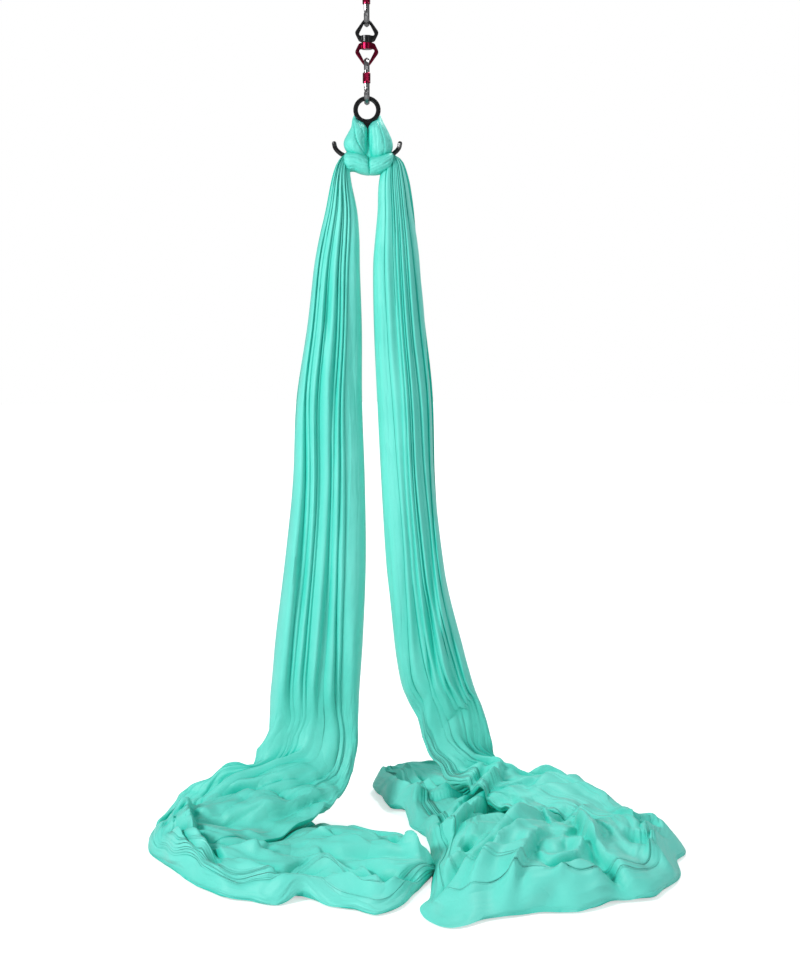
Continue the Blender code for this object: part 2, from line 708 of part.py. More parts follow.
def figure_eight(name, material=None, grow=0.0):
    """The whole descender, or with grow the room that it takes in the fabric."""
    eight = ring_tube(name, LARGE_RING, LARGE_BAR + grow, LARGE_RING_Z, 26, material, 8)
    combine(eight, neck(name + "_neck", grow))
    small = ring_tube(name + "_small_ring", SMALL_RING, SMALL_BAR + grow, SMALL_RING_Z, 28)
    combine(eight, small)
    combine(eight, ear(name + "_left_ear", -1, grow))
    combine(eight, ear(name + "_right_ear", 1, grow))
    return eight


# The fabric tied round the figure eight


def under_ring(degrees):
    """A point of the wrap's top edge, just clear of the small ring's underside."""
    radius = SMALL_RING + SMALL_BAR + 0.0015
    a = math.radians(degrees)
    return (radius * math.sin(a), SMALL_RING_Z - LARGE_RING_Z - radius * math.cos(a))


# The four parts of the tie: outline as (x, height from the large ring's centre), middle,
# and half the thickness
TIE_PARTS = {
    "left_strap": ([under_ring(0), under_ring(-30), under_ring(-62), (-0.0410, 0.0600),
                    (-0.0505, 0.0330), (-0.0535, 0.0030), (-0.0450, -0.0150),
                    (-0.0200, -0.0130), (0.0050, -0.0230), (0.0060, 0.0100)],
                   (-0.0230, 0.0180), 0.0300),
    "right_strap": ([under_ring(60), under_ring(28), under_ring(-4), (0.0000, 0.0200),
                     (0.0010, -0.0150), (0.0200, -0.0200), (0.0450, -0.0180),
                     (0.0585, -0.0160), (0.0565, 0.0090), (0.0470, 0.0400),
                     (0.0370, 0.0610)],
                    (0.0290, 0.0180), 0.0290),
    "left_lobe": ([(-0.0520, -0.0040), (-0.0300, 0.0020), (0.0060, -0.0140),
                   (0.0100, -0.0580), (-0.0120, -0.0580), (-0.0390, -0.0500),
                   (-0.0500, -0.0340)],
                  (-0.0200, -0.0270), 0.0330),
    "right_lobe": ([(0.0040, -0.0140), (0.0340, -0.0060), (0.0590, -0.0060),
                    (0.0585, -0.0200), (0.0490, -0.0420), (0.0370, -0.0560),
                    (0.0090, -0.0620), (0.0020, -0.0400)],
                   (0.0280, -0.0300), 0.0340),
}


def pillow(name, outline, middle, half_depth, material=None):
    """A padded lobe: full in its middle and round to its outline, front and back alike."""
    edge = [Vector((p[0], p[2])) for p in
            smooth_curve([(x, 0, z) for x, z in outline], 2, closed=True)]
    middle = Vector(middle)
    ring_count = 6
    rings = []
    for i in range(1, 2 * ring_count):
        angle = math.pi * i / (2 * ring_count)
        out, depth = math.sin(angle) ** 0.8, -half_depth * math.cos(angle)
        ring = []
        for point in edge:
            flat = middle + (point - middle) * out
            ring.append(Vector((flat[0], depth, LARGE_RING_Z + flat[1])))
        rings.append(ring)
    return add_rings(name, rings, material, smooth_angle=75)


def fabric_wrap(name, material):
    """The tie: two straps that pass over the neck and two rolled lobes below them."""
    wrap = None
    for part, (outline, middle, half_depth) in TIE_PARTS.items():
        if wrap is None:
            wrap = pillow(name, outline, middle, half_depth, material)
        else:
            combine(wrap, pillow("tie_" + part, outline, middle, half_depth))
    combine(wrap, figure_eight("wrap_room", grow=GAP), "DIFFERENCE")
    return wrap


# The two tails and the fabric that lies on the floor


def pleated_ring(half_width, half_depth, z, centre, wide_side, pleats, bite):
    """One level of a tail: pleats in front, one wide flat panel, shallow folds behind."""
    ring = []
    front = 3 * pleats + 1
    for i in range(front):
        t = i / (front - 1)
        spread = t**1.18 if wide_side > 0 else 1 - (1 - t) ** 1.18
        x = -1 + 2 * spread
        edge = math.sqrt(max(0.0, 1 - abs(x) ** 3.2))
        on_panel = smooth_step(0.42, 0.62, x * wide_side)
        fold = abs(math.sin(math.pi * pleats * t)) ** 0.8
        fold += (0.85 - fold) * on_panel
        y = -half_depth * edge * (1 - bite * (1 - fold))
        ring.append(Vector((centre[0] + half_width * x, centre[1] + y, z)))
    back = pleats + 2
    for i in range(1, back):
        t = 1 - i / back
        x = -1 + 2 * t
        edge = math.sqrt(1 - abs(x) ** 3.2)
        y = half_depth * edge * (1 - 0.7 * bite * (i % 2))
        ring.append(Vector((centre[0] + half_width * x, centre[1] + y, z)))
    return ring


def smooth_step(low, high, value):
    t = max(0.0, min(1.0, (value - low) / (high - low)))
    return t * t * (3 - 2 * t)


def read_along(table, value):
    """Smooth reading of a short table of (position, value, value...) rows."""
    rows = [Vector(row) for row in table]
    slot = max(0, min(len(rows) - 2, sum(value >= row[0] for row in rows) - 1))
    here, there = rows[slot], rows[slot + 1]
    width = there[0] - here[0]
    before = rows[max(slot - 1, 0)]
    after = rows[min(slot + 2, len(rows) - 1)]
    leave = (there - before) / (there[0] - before[0]) * width
    arrive = (after - here) / (after[0] - here[0]) * width
    t = (value - here[0]) / width
    found = here * (2 * t**3 - 3 * t**2 + 1) + leave * (t**3 - 2 * t**2 + t)
    found += there * (3 * t**2 - 2 * t**3) + arrive * (t**3 - t**2)
    return found[1:]


# Each row: share of the way down, middle x, half the width, middle y, half the depth
LEFT_TAIL = [
    (0.00, -0.0646, 0.0120, 0.000, 0.016),
    (0.04, -0.0610, 0.0265, 0.000, 0.024),
    (0.09, -0.0615, 0.0425, 0.000, 0.030),
    (0.16, -0.0705, 0.0535, 0.000, 0.034),
    (0.25, -0.0770, 0.0640, 0.000, 0.037),
    (0.36, -0.0890, 0.0760, 0.000, 0.041),
    (0.48, -0.0915, 0.0845, 0.000, 0.045),
    (0.61, -0.1010, 0.0960, 0.000, 0.049),
    (0.78, -0.1215, 0.1065, 0.000, 0.053),
    (1.00, -0.1500, 0.1120, 0.000, 0.060),
]
RIGHT_TAIL = [
    (0.00, 0.0704, 0.0125, 0.000, 0.016),
    (0.04, 0.0605, 0.0335, 0.000, 0.024),
    (0.09, 0.0625, 0.0425, 0.000, 0.030),
    (0.16, 0.0650, 0.0520, 0.000, 0.034),
    (0.25, 0.0730, 0.0580, 0.000, 0.037),
    (0.36, 0.0850, 0.0630, 0.000, 0.041),
    (0.48, 0.0935, 0.0625, 0.000, 0.045),
    (0.61, 0.1095, 0.0675, 0.000, 0.049),
    (0.78, 0.1505, 0.0825, 0.000, 0.053),
    (0.90, 0.2000, 0.0860, 0.000, 0.056),
    (1.00, 0.2560, 0.0860, 0.000, 0.060),
]


def fabric_tail(name, table, wide_side, pleats, material):
    """A gathered tail from its roll beside the wrap down to the fabric on the floor."""
    foot = FLOOR_Z + POOL_SEAT + GAP
    away = math.copysign(1, table[0][1])
    rings = []
    steps = 5
    for i in range(1, steps):
        a = math.pi / 2 * i / steps
        middle_x, half_width = read_along(table, 0)[:2]
        narrow = half_width * (0.45 + 0.55 * math.sin(a))
        centre = (middle_x - away * (half_width - narrow), 0)
        rings.append(pleated_ring(narrow, TAIL_TOP_RADIUS * math.sin(a),
                                  TAIL_AXIS_Z + TAIL_TOP_RADIUS * math.cos(a),
                                  centre, wide_side, pleats, 0.10))
    levels = 21
    for i in range(levels + 1):
        share = (i / levels) ** 1.25
        middle_x, half_width, middle_y, half_depth = read_along(table, share)
        z = TAIL_AXIS_Z + (foot - TAIL_AXIS_Z) * share
        bite = 0.10 + 0.24 * smooth_step(0, 0.2, share)
        rings.append(pleated_ring(half_width, half_depth, z, (middle_x, middle_y), wide_side,
                                  pleats, bite))
    return add_rings(name, rings, material, smooth_angle=60)


# Outlines on the floor, in the order of travel round the pool
LEFT_POOL = [(-0.012, 0.020), (-0.050, 0.085), (-0.150, 0.100), (-0.250, 0.085),
             (-0.345, 0.010), (-0.425, -0.030), (-0.478, -0.090), (-0.496, -0.185),
             (-0.476, -0.290), (-0.416, -0.398), (-0.330, -0.488), (-0.220, -0.552),
             (-0.120, -0.542), (-0.020, -0.594), (0.062, -0.572), (0.120, -0.480),
             (0.142, -0.395), (0.108, -0.285), (0.060, -0.222), (-0.030, -0.190),
             (-0.022, -0.090)]
LEFT_POOL_MIDDLE = (-0.245, -0.160)
RIGHT_POOL = [(0.138, -0.175), (0.085, -0.045), (0.033, 0.070), (0.008, 0.165),
              (0.020, 0.235), (0.085, 0.255), (0.155, 0.222), (0.240, 0.165),
              (0.360, 0.120), (0.480, 0.090), (0.580, 0.035), (0.652, -0.100),
              (0.706, -0.195), (0.722, -0.290), (0.672, -0.420), (0.592, -0.535),
              (0.455, -0.575), (0.330, -0.612), (0.255, -0.605), (0.185, -0.655),
              (0.118, -0.620), (0.160, -0.500), (0.160, -0.340)]
RIGHT_POOL_MIDDLE = (0.320, -0.170)

# Laps of cloth that make the pools: (x, y, height over the floor, half the width)
LEFT_LAPS = [
    [(-0.150, -0.040, 0.100, 0.110), (-0.205, -0.075, 0.104, 0.140),
     (-0.265, -0.125, 0.094, 0.165), (-0.325, -0.185, 0.080, 0.160),
     (-0.370, -0.250, 0.068, 0.125), (-0.385, -0.310, 0.060, 0.105),
     (-0.360, -0.370, 0.054, 0.100)],
    [(-0.360, -0.370, 0.054, 0.100), (-0.290, -0.400, 0.053, 0.125),
     (-0.200, -0.395, 0.054, 0.150), (-0.100, -0.380, 0.057, 0.170),
     (0.000, -0.390, 0.057, 0.185), (0.090, -0.390, 0.046, 0.125)],
]
RIGHT_LAPS = [
    [(0.240, 0.000, 0.104, 0.100), (0.310, -0.020, 0.106, 0.120),
     (0.400, -0.045, 0.102, 0.145), (0.480, -0.090, 0.096, 0.150),
     (0.545, -0.170, 0.090, 0.145), (0.585, -0.270, 0.084, 0.145)],
    [(0.585, -0.270, 0.084, 0.145), (0.520, -0.360, 0.080, 0.160),
     (0.430, -0.385, 0.078, 0.180), (0.345, -0.405, 0.076, 0.195),
     (0.265, -0.410, 0.068, 0.205), (0.225, -0.340, 0.060, 0.175)],
    [(0.225, -0.340, 0.060, 0.175), (0.225, -0.225, 0.056, 0.140),
     (0.212, -0.100, 0.056, 0.112), (0.178, 0.010, 0.056, 0.112),
     (0.134, 0.110, 0.060, 0.110), (0.075, 0.185, 0.052, 0.080)],
]
LAP_ROUNDNESS = 2.6  # power of a lap's outline: 2 is an ellipse, more is squarer

# Long folds on the laps: (height, half the width, points along the crest)
LEFT_FOLDS = [
    (0.012, 0.035, [(-0.090, -0.130), (-0.200, -0.240), (-0.330, -0.330)]),
    (0.010, 0.040, [(-0.440, -0.110), (-0.425, -0.240), (-0.370, -0.360), (-0.260, -0.450)]),
    (0.010, 0.040, [(-0.130, -0.300), (-0.070, -0.400), (0.030, -0.470)]),
]
RIGHT_FOLDS = [
    (0.014, 0.045, [(0.470, -0.200), (0.370, -0.280), (0.270, -0.430), (0.180, -0.590)]),
    (0.012, 0.045, [(0.480, -0.210), (0.400, -0.370), (0.330, -0.540)]),
    (0.014, 0.045, [(0.490, -0.200), (0.530, -0.360), (0.600, -0.460)]),
]


def distance_to(point, start, end):
    start, end = Vector(start), Vector(end)
    along = end - start
    t = max(0.0, min(1.0, (point - start).dot(along) / along.length_squared))
    return (point - start - along * t).length


def fold_height(point, folds):
    """Height of the folds' crests over the heap at one place."""
    found = 0.0
    for height, half_width, line in folds:
        away = min(distance_to(point, a, b) for a, b in zip(line, line[1:]))
        share = min(1.0, away / half_width)
        rise = height * (1 - share**2) ** 2
        found = max(found, rise) + 0.35 * min(found, rise)
    return found


def lap_height(point, laps):
    """Height of the highest lap over one place: round at its sides, flatter on top."""
    found = 0.0
    for lap in laps:
        for start, end in zip(lap, lap[1:]):
            start, end = Vector(start), Vector(end)
            along = end.xy - start.xy
            t = max(0.0, min(1.0, (point - start.xy).dot(along) / along.length_squared))
            x, y, top, half_width = start.lerp(end, t)
            across = min(1.0, (point - Vector((x, y))).length / half_width)
            found = max(found, top * (1 - across**LAP_ROUNDNESS) ** (1 / LAP_ROUNDNESS))
    return found


def fabric_pool(name, outline, middle, laps, folds, tail_foot, material):
    """Fabric that came down in loose laps: each lap is a rounded band with long folds on
    it, flat below, and there is a level seat where the tail comes down."""
    edge = [Vector((p[0], p[1])) for p in
            smooth_curve([(x, y, 0) for x, y in outline], 2, closed=True)]
    crests = [(high, wide, [p.xy for p in smooth_curve([(x, y, 0) for x, y in line], 3)])
              for high, wide, line in folds]
    middle = Vector(middle)
    foot_x, foot_half, foot_y, foot_depth = tail_foot[1:]
    levels = 15

    def surface(point, share):
        rise = (1 - share**8) ** 0.5
        z = HEM_HEIGHT + rise * max(LOW_HEAP, lap_height(point, laps))
        z += rise * fold_height(point, crests)
        away = math.hypot(max(abs(point[0] - foot_x) - foot_half, 0),
                          max(abs(point[1] - foot_y) - foot_depth, 0))
        on_seat = 1 - smooth_step(0.020, 0.080, away)
        return z + (POOL_SEAT - z) * on_seat

    rings = [[Vector((p[0], p[1], FLOOR_Z)) for p in edge]]
    for i in range(levels):
        share = 0.99 - 0.93 * i / (levels - 1)
        ring = []
        for p in edge:
            flat = middle + (p - middle) * share
            ring.append(Vector((flat[0], flat[1], FLOOR_Z + surface(flat, share))))
        rings.append(ring)
    return add_rings(name, rings, material, smooth_angle=75)


def build_fabric(teal, eight_pivot, fabric_pivot):
    wrap = fabric_wrap("fabric_wrap", teal)
    hang_on(eight_pivot, wrap)
    tails = [
        fabric_tail("left_tail", LEFT_TAIL, 1, 7, teal),
        fabric_tail("right_tail", RIGHT_TAIL, -1, 7, teal),
    ]
    pools = [
        fabric_pool("left_pool", LEFT_POOL, LEFT_POOL_MIDDLE, LEFT_LAPS, LEFT_FOLDS,
                    LEFT_TAIL[-1], teal),
        fabric_pool("right_pool", RIGHT_POOL, RIGHT_POOL_MIDDLE, RIGHT_LAPS, RIGHT_FOLDS,
                    RIGHT_TAIL[-1], teal),
    ]
    hang_on(fabric_pivot, *tails, *pools)


def build():
    clear_scene()
    polished = make_material("polished_alloy", (0.62, 0.62, 0.63), 0.25, 1.0)
    red = make_material("red_anodised", (0.42, 0.02, 0.07), 0.30, 1.0)
    black = make_material("black_anodised", (0.02, 0.02, 0.022), 0.38, 0.6)
    steel = make_material("bearing_steel", (0.55, 0.55, 0.56), 0.22, 1.0)
    rubber = make_material("seal_rubber", (0.03, 0.03, 0.03), 0.70, 0.0)
    teal = make_material("mint_tricot", (0.14, 0.72, 0.58), 0.60, 0.0)

    hang = add_pivot("hang_point", (0, 0, 0))
    sway = add_pivot("swivel_sway_axis", (0, 0, BEND_BOTTOM), hang)
    spin = add_pivot("swivel_spin_axis", (0, 0, BOTTOM_EYE_BASE), sway)
    rock = add_pivot("carabiner_rock_axis", (0, 0, RED_BAR_Z), spin)
    eight = add_pivot("ring_sway_axis", (0, 0, LOWER_BEND_BOTTOM), rock)
    drape = add_pivot("fabric_hang_axis", (0, 0, TAIL_AXIS_Z), eight)

    build_carabiner("upper", 0.0, polished, red, steel, hang)
    build_swivel(black, red, steel, rubber, sway, spin)
    build_carabiner("lower", LOWER_OFFSET, polished, red, steel, rock)
    hang_on(eight, figure_eight("figure_8", black))
    build_fabric(teal, eight, drape)


build()
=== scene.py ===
# %% [markdown]
# # Aerial yoga hammock, hung from a swivel and tied on a rescue figure eight
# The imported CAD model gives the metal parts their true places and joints. This lesson loads
# it as a fixed frame, gives every metal piece its finish, and then makes the cloth as what
# it is: one wide sheet of tricot, gathered, tied, hung, and let down in loose laps.

# %% Load the frame and keep its box
import math

import bpy
import numpy as np
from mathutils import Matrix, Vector


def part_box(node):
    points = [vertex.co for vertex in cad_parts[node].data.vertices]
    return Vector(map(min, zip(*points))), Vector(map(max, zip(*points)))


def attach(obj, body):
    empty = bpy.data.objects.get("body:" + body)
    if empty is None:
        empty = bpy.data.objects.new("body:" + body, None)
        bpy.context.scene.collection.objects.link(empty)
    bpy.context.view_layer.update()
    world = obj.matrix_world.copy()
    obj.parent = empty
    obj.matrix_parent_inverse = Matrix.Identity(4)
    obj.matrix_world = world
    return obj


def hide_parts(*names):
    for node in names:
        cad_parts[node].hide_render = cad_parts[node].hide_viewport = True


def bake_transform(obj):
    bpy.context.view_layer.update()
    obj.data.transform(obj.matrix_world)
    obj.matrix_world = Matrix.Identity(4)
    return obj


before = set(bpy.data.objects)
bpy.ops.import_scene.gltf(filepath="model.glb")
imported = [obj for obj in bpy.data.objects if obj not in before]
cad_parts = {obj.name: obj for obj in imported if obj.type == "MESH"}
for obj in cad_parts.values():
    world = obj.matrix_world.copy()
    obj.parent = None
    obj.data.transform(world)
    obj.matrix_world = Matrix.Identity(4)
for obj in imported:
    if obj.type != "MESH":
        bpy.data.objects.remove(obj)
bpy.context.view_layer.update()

FLOOR_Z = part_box("left_pool")[0].z
print("floor at", round(FLOOR_Z, 4))

# %% [markdown]
# ## The camera
# The photograph was taken from a little under the height of the knot with a normal lens,
# tipped down by seven degrees. The place and the lens were fitted to the picture: the ring,
# the ears and the two piles on the floor land where they do there.

# %% Camera
CAMERA_PLACE = (0.0755, -3.6, -0.690)
CAMERA_TIP = 7.0
LENS = 57.8

camera = bpy.data.objects.new("camera", bpy.data.cameras.new("camera"))
bpy.context.scene.collection.objects.link(camera)
camera.location = CAMERA_PLACE
camera.rotation_euler = (math.radians(90 - CAMERA_TIP), 0, 0)
camera.data.lens = LENS
camera.data.sensor_width = 36
bpy.context.scene.camera = camera
print("camera", CAMERA_PLACE, "lens", LENS)

# %% [markdown]
# ## Helpers for shader nodes
# A finish in Blender is a graph of small nodes. Each node is added, set, and given a value
# or a link at its inputs, and those steps are the same every time. A few helpers take them
# up, so that a finish reads as a list of its nodes with what goes into each.

# %% Helpers for nodes
def feed(tree, node, inputs):
    """Gives each named input of a node a value, or a link from another node's output."""
    for label, given in inputs.items():
        if isinstance(given, bpy.types.NodeSocket):
            tree.links.new(given, node.inputs[label])
        else:
            node.inputs[label].default_value = given


def add_node(tree, kind, inputs, **settings):
    """A new node with its settings made and its inputs fed."""
    node = tree.nodes.new(kind)
    for label, setting in settings.items():
        setattr(node, label, setting)
    feed(tree, node, inputs)
    return node


def reckon(tree, operation, first, second=0.0):
    """The result of one step of arithmetic on two numbers or outputs."""
    return add_node(tree, "ShaderNodeMath", {0: first, 1: second}, operation=operation).outputs[0]


def remap(tree, value, seen=(0.0, 1.0), wanted=(0.0, 1.0), way="LINEAR"):
    """A value taken from one range to another and held within it."""
    node = add_node(tree, "ShaderNodeMapRange",
                    {"Value": value, "From Min": seen[0], "From Max": seen[1],
                     "To Min": wanted[0], "To Max": wanted[1]}, interpolation_type=way)
    return node.outputs["Result"]


def mix_colours(tree, share, first, second):
    """A colour that goes over from the first to the second with the share."""
    node = add_node(tree, "ShaderNodeMix", {"Factor": share, "A": first, "B": second},
                    data_type="RGBA")
    return node.outputs["Result"]


print("helpers:", [helper.__name__ for helper in (feed, add_node, reckon, remap, mix_colours)])

# %% [markdown]
# ## The studio
# The hammock hangs over a broad sheet of white paper, with nothing behind it but a white
# surround, so that it can be looked at from every side. Far from the lamps the paper would
# fall off to grey. So it gives the camera, and only the camera, a little light of its own,
# more of it further out, and the cloth's shadow stays.

# %% Floor
PAPER_RADIUS = 14.0
PAPER_CORNERS = 64
PAPER_DROP = 0.0005  # below the lowest point of the CAD, so that no two faces share a plane
PAPER_LIFT = 0.55  # light that the camera alone sees, near the cloth
FAR_LIFT = 1.0
LIFT_GROWS = (1.0, 3.5)  # metres from the hang line

rim = [2 * math.pi * i / PAPER_CORNERS for i in range(PAPER_CORNERS)]
under = FLOOR_Z - PAPER_DROP
paper_mesh = bpy.data.meshes.new("studio_floor")
paper_mesh.from_pydata([(PAPER_RADIUS * math.cos(a), PAPER_RADIUS * math.sin(a), under)
                        for a in rim], [], [tuple(range(PAPER_CORNERS))])
studio_floor = bpy.data.objects.new("studio_floor", paper_mesh)
bpy.context.scene.collection.objects.link(studio_floor)

paper = bpy.data.materials.new("white_paper")
paper.use_nodes = True
tree = paper.node_tree
place = tree.nodes.new("ShaderNodeTexCoord")
reach = add_node(tree, "ShaderNodeVectorMath", {0: place.outputs["Object"]}, operation="LENGTH")
near, far = (math.hypot(beside, FLOOR_Z) for beside in LIFT_GROWS)
grows = remap(tree, reach.outputs["Value"], (near, far), (PAPER_LIFT, FAR_LIFT), "SMOOTHSTEP")
rays = tree.nodes.new("ShaderNodeLightPath")
lift = reckon(tree, "MULTIPLY", rays.outputs["Is Camera Ray"], grows)
feed(tree, tree.nodes["Principled BSDF"],
     {"Base Color": (0.93, 0.93, 0.93, 1), "Roughness": 0.9, "Specular IOR Level": 0.2,
      "Emission Color": (1, 1, 1, 1), "Emission Strength": lift})
paper_mesh.materials.append(paper)
print("paper", 2 * PAPER_RADIUS, "m across")

# %% [markdown]
# The surround is white for the camera. For everything else it is modest, or black fittings
# would mirror it and look grey. The strongest lamp stands at the left and somewhat above,
# as the folds' shadows in the photograph tell. A weak one opens the shadows on the right,
# and a third comes from above and behind, so that the crests of the heaps stand out.

# %% World and lamps
SURROUND_LIGHT = 0.30
LAMPS = {  # place, the point it faces, metres across, watts
    "key_light": ((-2.9, -2.4, 0.5), (0.0, 0.0, -1.25), 0.9, 121),
    "fill_light": ((2.4, -3.2, -0.4), (0.1, 0.0, -1.2), 1.4, 28),
    "top_light": ((0.8, 0.9, 1.2), (0.1, -0.2, -1.8), 0.8, 34),
}

world = bpy.data.worlds.new("studio")
bpy.context.scene.world = world
world.use_nodes = True
tree = world.node_tree
tree.nodes.clear()
surround = add_node(tree, "ShaderNodeBackground",
                    {"Color": (0.97, 0.985, 1.0, 1), "Strength": SURROUND_LIGHT})
seen_white = add_node(tree, "ShaderNodeBackground", {"Color": (1, 1, 1, 1), "Strength": 1.0})
rays = tree.nodes.new("ShaderNodeLightPath")
seen = reckon(tree, "MAXIMUM", rays.outputs["Is Camera Ray"], rays.outputs["Is Transmission Ray"])
mix = add_node(tree, "ShaderNodeMixShader",
               {0: seen, 1: surround.outputs[0], 2: seen_white.outputs[0]})
add_node(tree, "ShaderNodeOutputWorld", {"Surface": mix.outputs[0]})
bpy.context.scene.view_settings.view_transform = "Standard"


def softbox(name, place, aim, size, watts):
    """A square area lamp that faces a point."""
    lamp = bpy.data.lights.new(name, "AREA")
    lamp.shape = "SQUARE"
    lamp.size = size
    lamp.energy = watts
    holder = bpy.data.objects.new(name, lamp)
    holder.location = place
    direction = Vector(aim) - Vector(place)
    holder.rotation_euler = direction.to_track_quat("-Z", "Y").to_euler()
    bpy.context.scene.collection.objects.link(holder)


for name, setting in LAMPS.items():
    softbox(name, *setting)
print("lamps:", *LAMPS)

# %% [markdown]
# ## Metal finishes
# Forged and anodised fittings show two things up close: edges rubbed a little brighter, and
# a faint cloud of handling marks. Both are shader groups, built once, so that each metal
# can take them with its own strength. A group puts out only masks; the Principled shader
# stays in each material.

# %% Shader groups for metal
def new_group(name, inputs, outputs):
    """A shader group with named number sockets: the group, what it is given (label and
    default), and the node that takes what it finds."""
    group = bpy.data.node_groups.new(name, "ShaderNodeTree")
    for label, default in inputs.items():
        socket = group.interface.new_socket(label, in_out="INPUT", socket_type="NodeSocketFloat")
        socket.default_value = default
    for label in outputs:
        group.interface.new_socket(label, in_out="OUTPUT", socket_type="NodeSocketFloat")
    return group, group.nodes.new("NodeGroupInput").outputs, group.nodes.new("NodeGroupOutput")


EDGE_TURNS = (0.995, 0.93)  # cosines of the turn at an edge where the mask starts and is full


def rubbed_edges():
    """Mask of 1 along convex edges, broken up by noise."""
    group, given, found = new_group("rubbed_edges", {"Width": 0.001, "Break Up": 0.5}, ["Mask"])
    bevel = add_node(group, "ShaderNodeBevel", {"Radius": given["Width"]}, samples=6)
    surface = group.nodes.new("ShaderNodeNewGeometry")
    dot = add_node(group, "ShaderNodeVectorMath",
                   {0: bevel.outputs["Normal"], 1: surface.outputs["Normal"]},
                   operation="DOT_PRODUCT")
    place = group.nodes.new("ShaderNodeTexCoord")
    noise = add_node(group, "ShaderNodeTexNoise",
                     {"Vector": place.outputs["Object"], "Scale": 260, "Detail": 3})
    broken = remap(group, noise.outputs["Fac"], (0.35, 0.62))
    keep = add_node(group, "ShaderNodeMix",
                    {"Factor": given["Break Up"], "A": 1.0, "B": broken}).outputs["Result"]
    bend = remap(group, dot.outputs["Value"], EDGE_TURNS)
    feed(group, found, {"Mask": reckon(group, "MULTIPLY", bend, keep)})
    return group


def handling_marks():
    """Soft clouds and fine hair scratches, both from 0 to 1."""
    group, given, found = new_group("handling_marks", {"Cloud Size": 60.0, "Hair Size": 900.0},
                                    ["Cloud", "Hair"])
    place = group.nodes.new("ShaderNodeTexCoord")
    cloud = add_node(group, "ShaderNodeTexNoise",
                     {"Vector": place.outputs["Object"], "Scale": given["Cloud Size"],
                      "Detail": 4})
    stretch = add_node(group, "ShaderNodeMapping",
                       {"Vector": place.outputs["Object"], "Scale": (1.0, 1.0, 0.12),
                        "Rotation": (0.3, 0.2, 0.5)})
    hair = add_node(group, "ShaderNodeTexNoise",
                    {"Vector": stretch.outputs["Vector"], "Scale": given["Hair Size"],
                     "Detail": 2})
    feed(group, found, {"Cloud": cloud.outputs["Fac"], "Hair": hair.outputs["Fac"]})
    return group


RUBBED_EDGES = rubbed_edges()
HANDLING_MARKS = handling_marks()
print("groups:", RUBBED_EDGES.name, HANDLING_MARKS.name)

# %% [markdown]
# One function makes every metal from its colour, the colour that its edges are rubbed to,
# and its gloss. Anodised alloy is a dyed skin over bright metal, so its edges show through
# paler. The black skin mirrors so little that it counts as a dark gloss more than a metal.

# %% Metals and rubber
EDGE_BREAK_UP = 0.6
GLOSS_DRIFT = (0.85, 1.25)  # shares of the roughness between which handling makes it drift


def metal_finish(name, colour, edge_colour, roughness, metallic, edge_width, hair_bump):
    """A metal whose edges are rubbed to another colour and whose gloss drifts a little."""
    material = bpy.data.materials.new(name)
    material.use_nodes = True
    tree = material.node_tree
    edges = add_node(tree, "ShaderNodeGroup",
                     {"Width": edge_width, "Break Up": EDGE_BREAK_UP}, node_tree=RUBBED_EDGES)
    marks = add_node(tree, "ShaderNodeGroup", {}, node_tree=HANDLING_MARKS)
    tint = mix_colours(tree, edges.outputs["Mask"], (*colour, 1), (*edge_colour, 1))
    gloss = remap(tree, marks.outputs["Cloud"], (0.3, 0.7),
                  [roughness * drift for drift in GLOSS_DRIFT])
    bump = add_node(tree, "ShaderNodeBump",
                    {"Strength": 1.0, "Distance": hair_bump, "Height": marks.outputs["Hair"]})
    feed(tree, tree.nodes["Principled BSDF"],
         {"Base Color": tint, "Metallic": metallic, "Roughness": gloss,
          "Normal": bump.outputs["Normal"]})
    return material


POLISHED = metal_finish("polished_alloy", (0.23, 0.23, 0.235), (0.55, 0.55, 0.55),
                        0.20, 1.0, 0.0006, 0.00002)
RED = metal_finish("red_anodised", (0.20, 0.006, 0.030), (0.46, 0.08, 0.13),
                   0.24, 1.0, 0.0005, 0.00002)
BLACK = metal_finish("black_anodised", (0.004, 0.004, 0.005), (0.05, 0.05, 0.055),
                     0.20, 0.20, 0.0006, 0.00002)
STEEL = metal_finish("bearing_steel", (0.60, 0.60, 0.61), (0.75, 0.75, 0.75),
                     0.18, 1.0, 0.0003, 0.00001)
RUBBER = metal_finish("seal_rubber", (0.020, 0.020, 0.020), (0.05, 0.05, 0.05),
                      0.70, 0.0, 0.0003, 0.00004)
print("finishes:", [finish.name for finish in (POLISHED, RED, BLACK, STEEL, RUBBER)])

# %% [markdown]
# The metal pieces keep the solids of the CAD, which have their true sizes and edges, and
# only take a finish. Frames and gates are polished, the screw sleeves and the lower eye are
# red, and the upper eye and the figure eight are black. The bolt, its nut, the bearing, the
# pins and the springs are bright steel, and the seal between the two eyes is rubber.

# %% Each metal node takes its finish
CARABINER_FINISH = {
    "carabiner_frame": POLISHED, "gate": POLISHED, "hinge_pin": STEEL, "latch_pin": STEEL,
    "gate_plunger": STEEL, "gate_spring": STEEL, "screw_sleeve": RED,
}
FINISH_OF = {f"{level}_{piece}": finish for level in ("upper", "lower")
             for piece, finish in CARABINER_FINISH.items()}
FINISH_OF |= {"swivel_top_eye": BLACK, "swivel_bottom_eye": RED, "swivel_bolt": STEEL,
              "swivel_nut": STEEL, "swivel_lower_race": STEEL, "swivel_upper_race": STEEL,
              "swivel_seal": RUBBER, "figure_8": BLACK}
FINISH_OF |= {f"swivel_ball_{number:02d}": STEEL for number in range(1, 11)}
for node, finish in FINISH_OF.items():
    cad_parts[node].data.materials.clear()
    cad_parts[node].data.materials.append(finish)
print("metal nodes with a finish:", len(FINISH_OF))
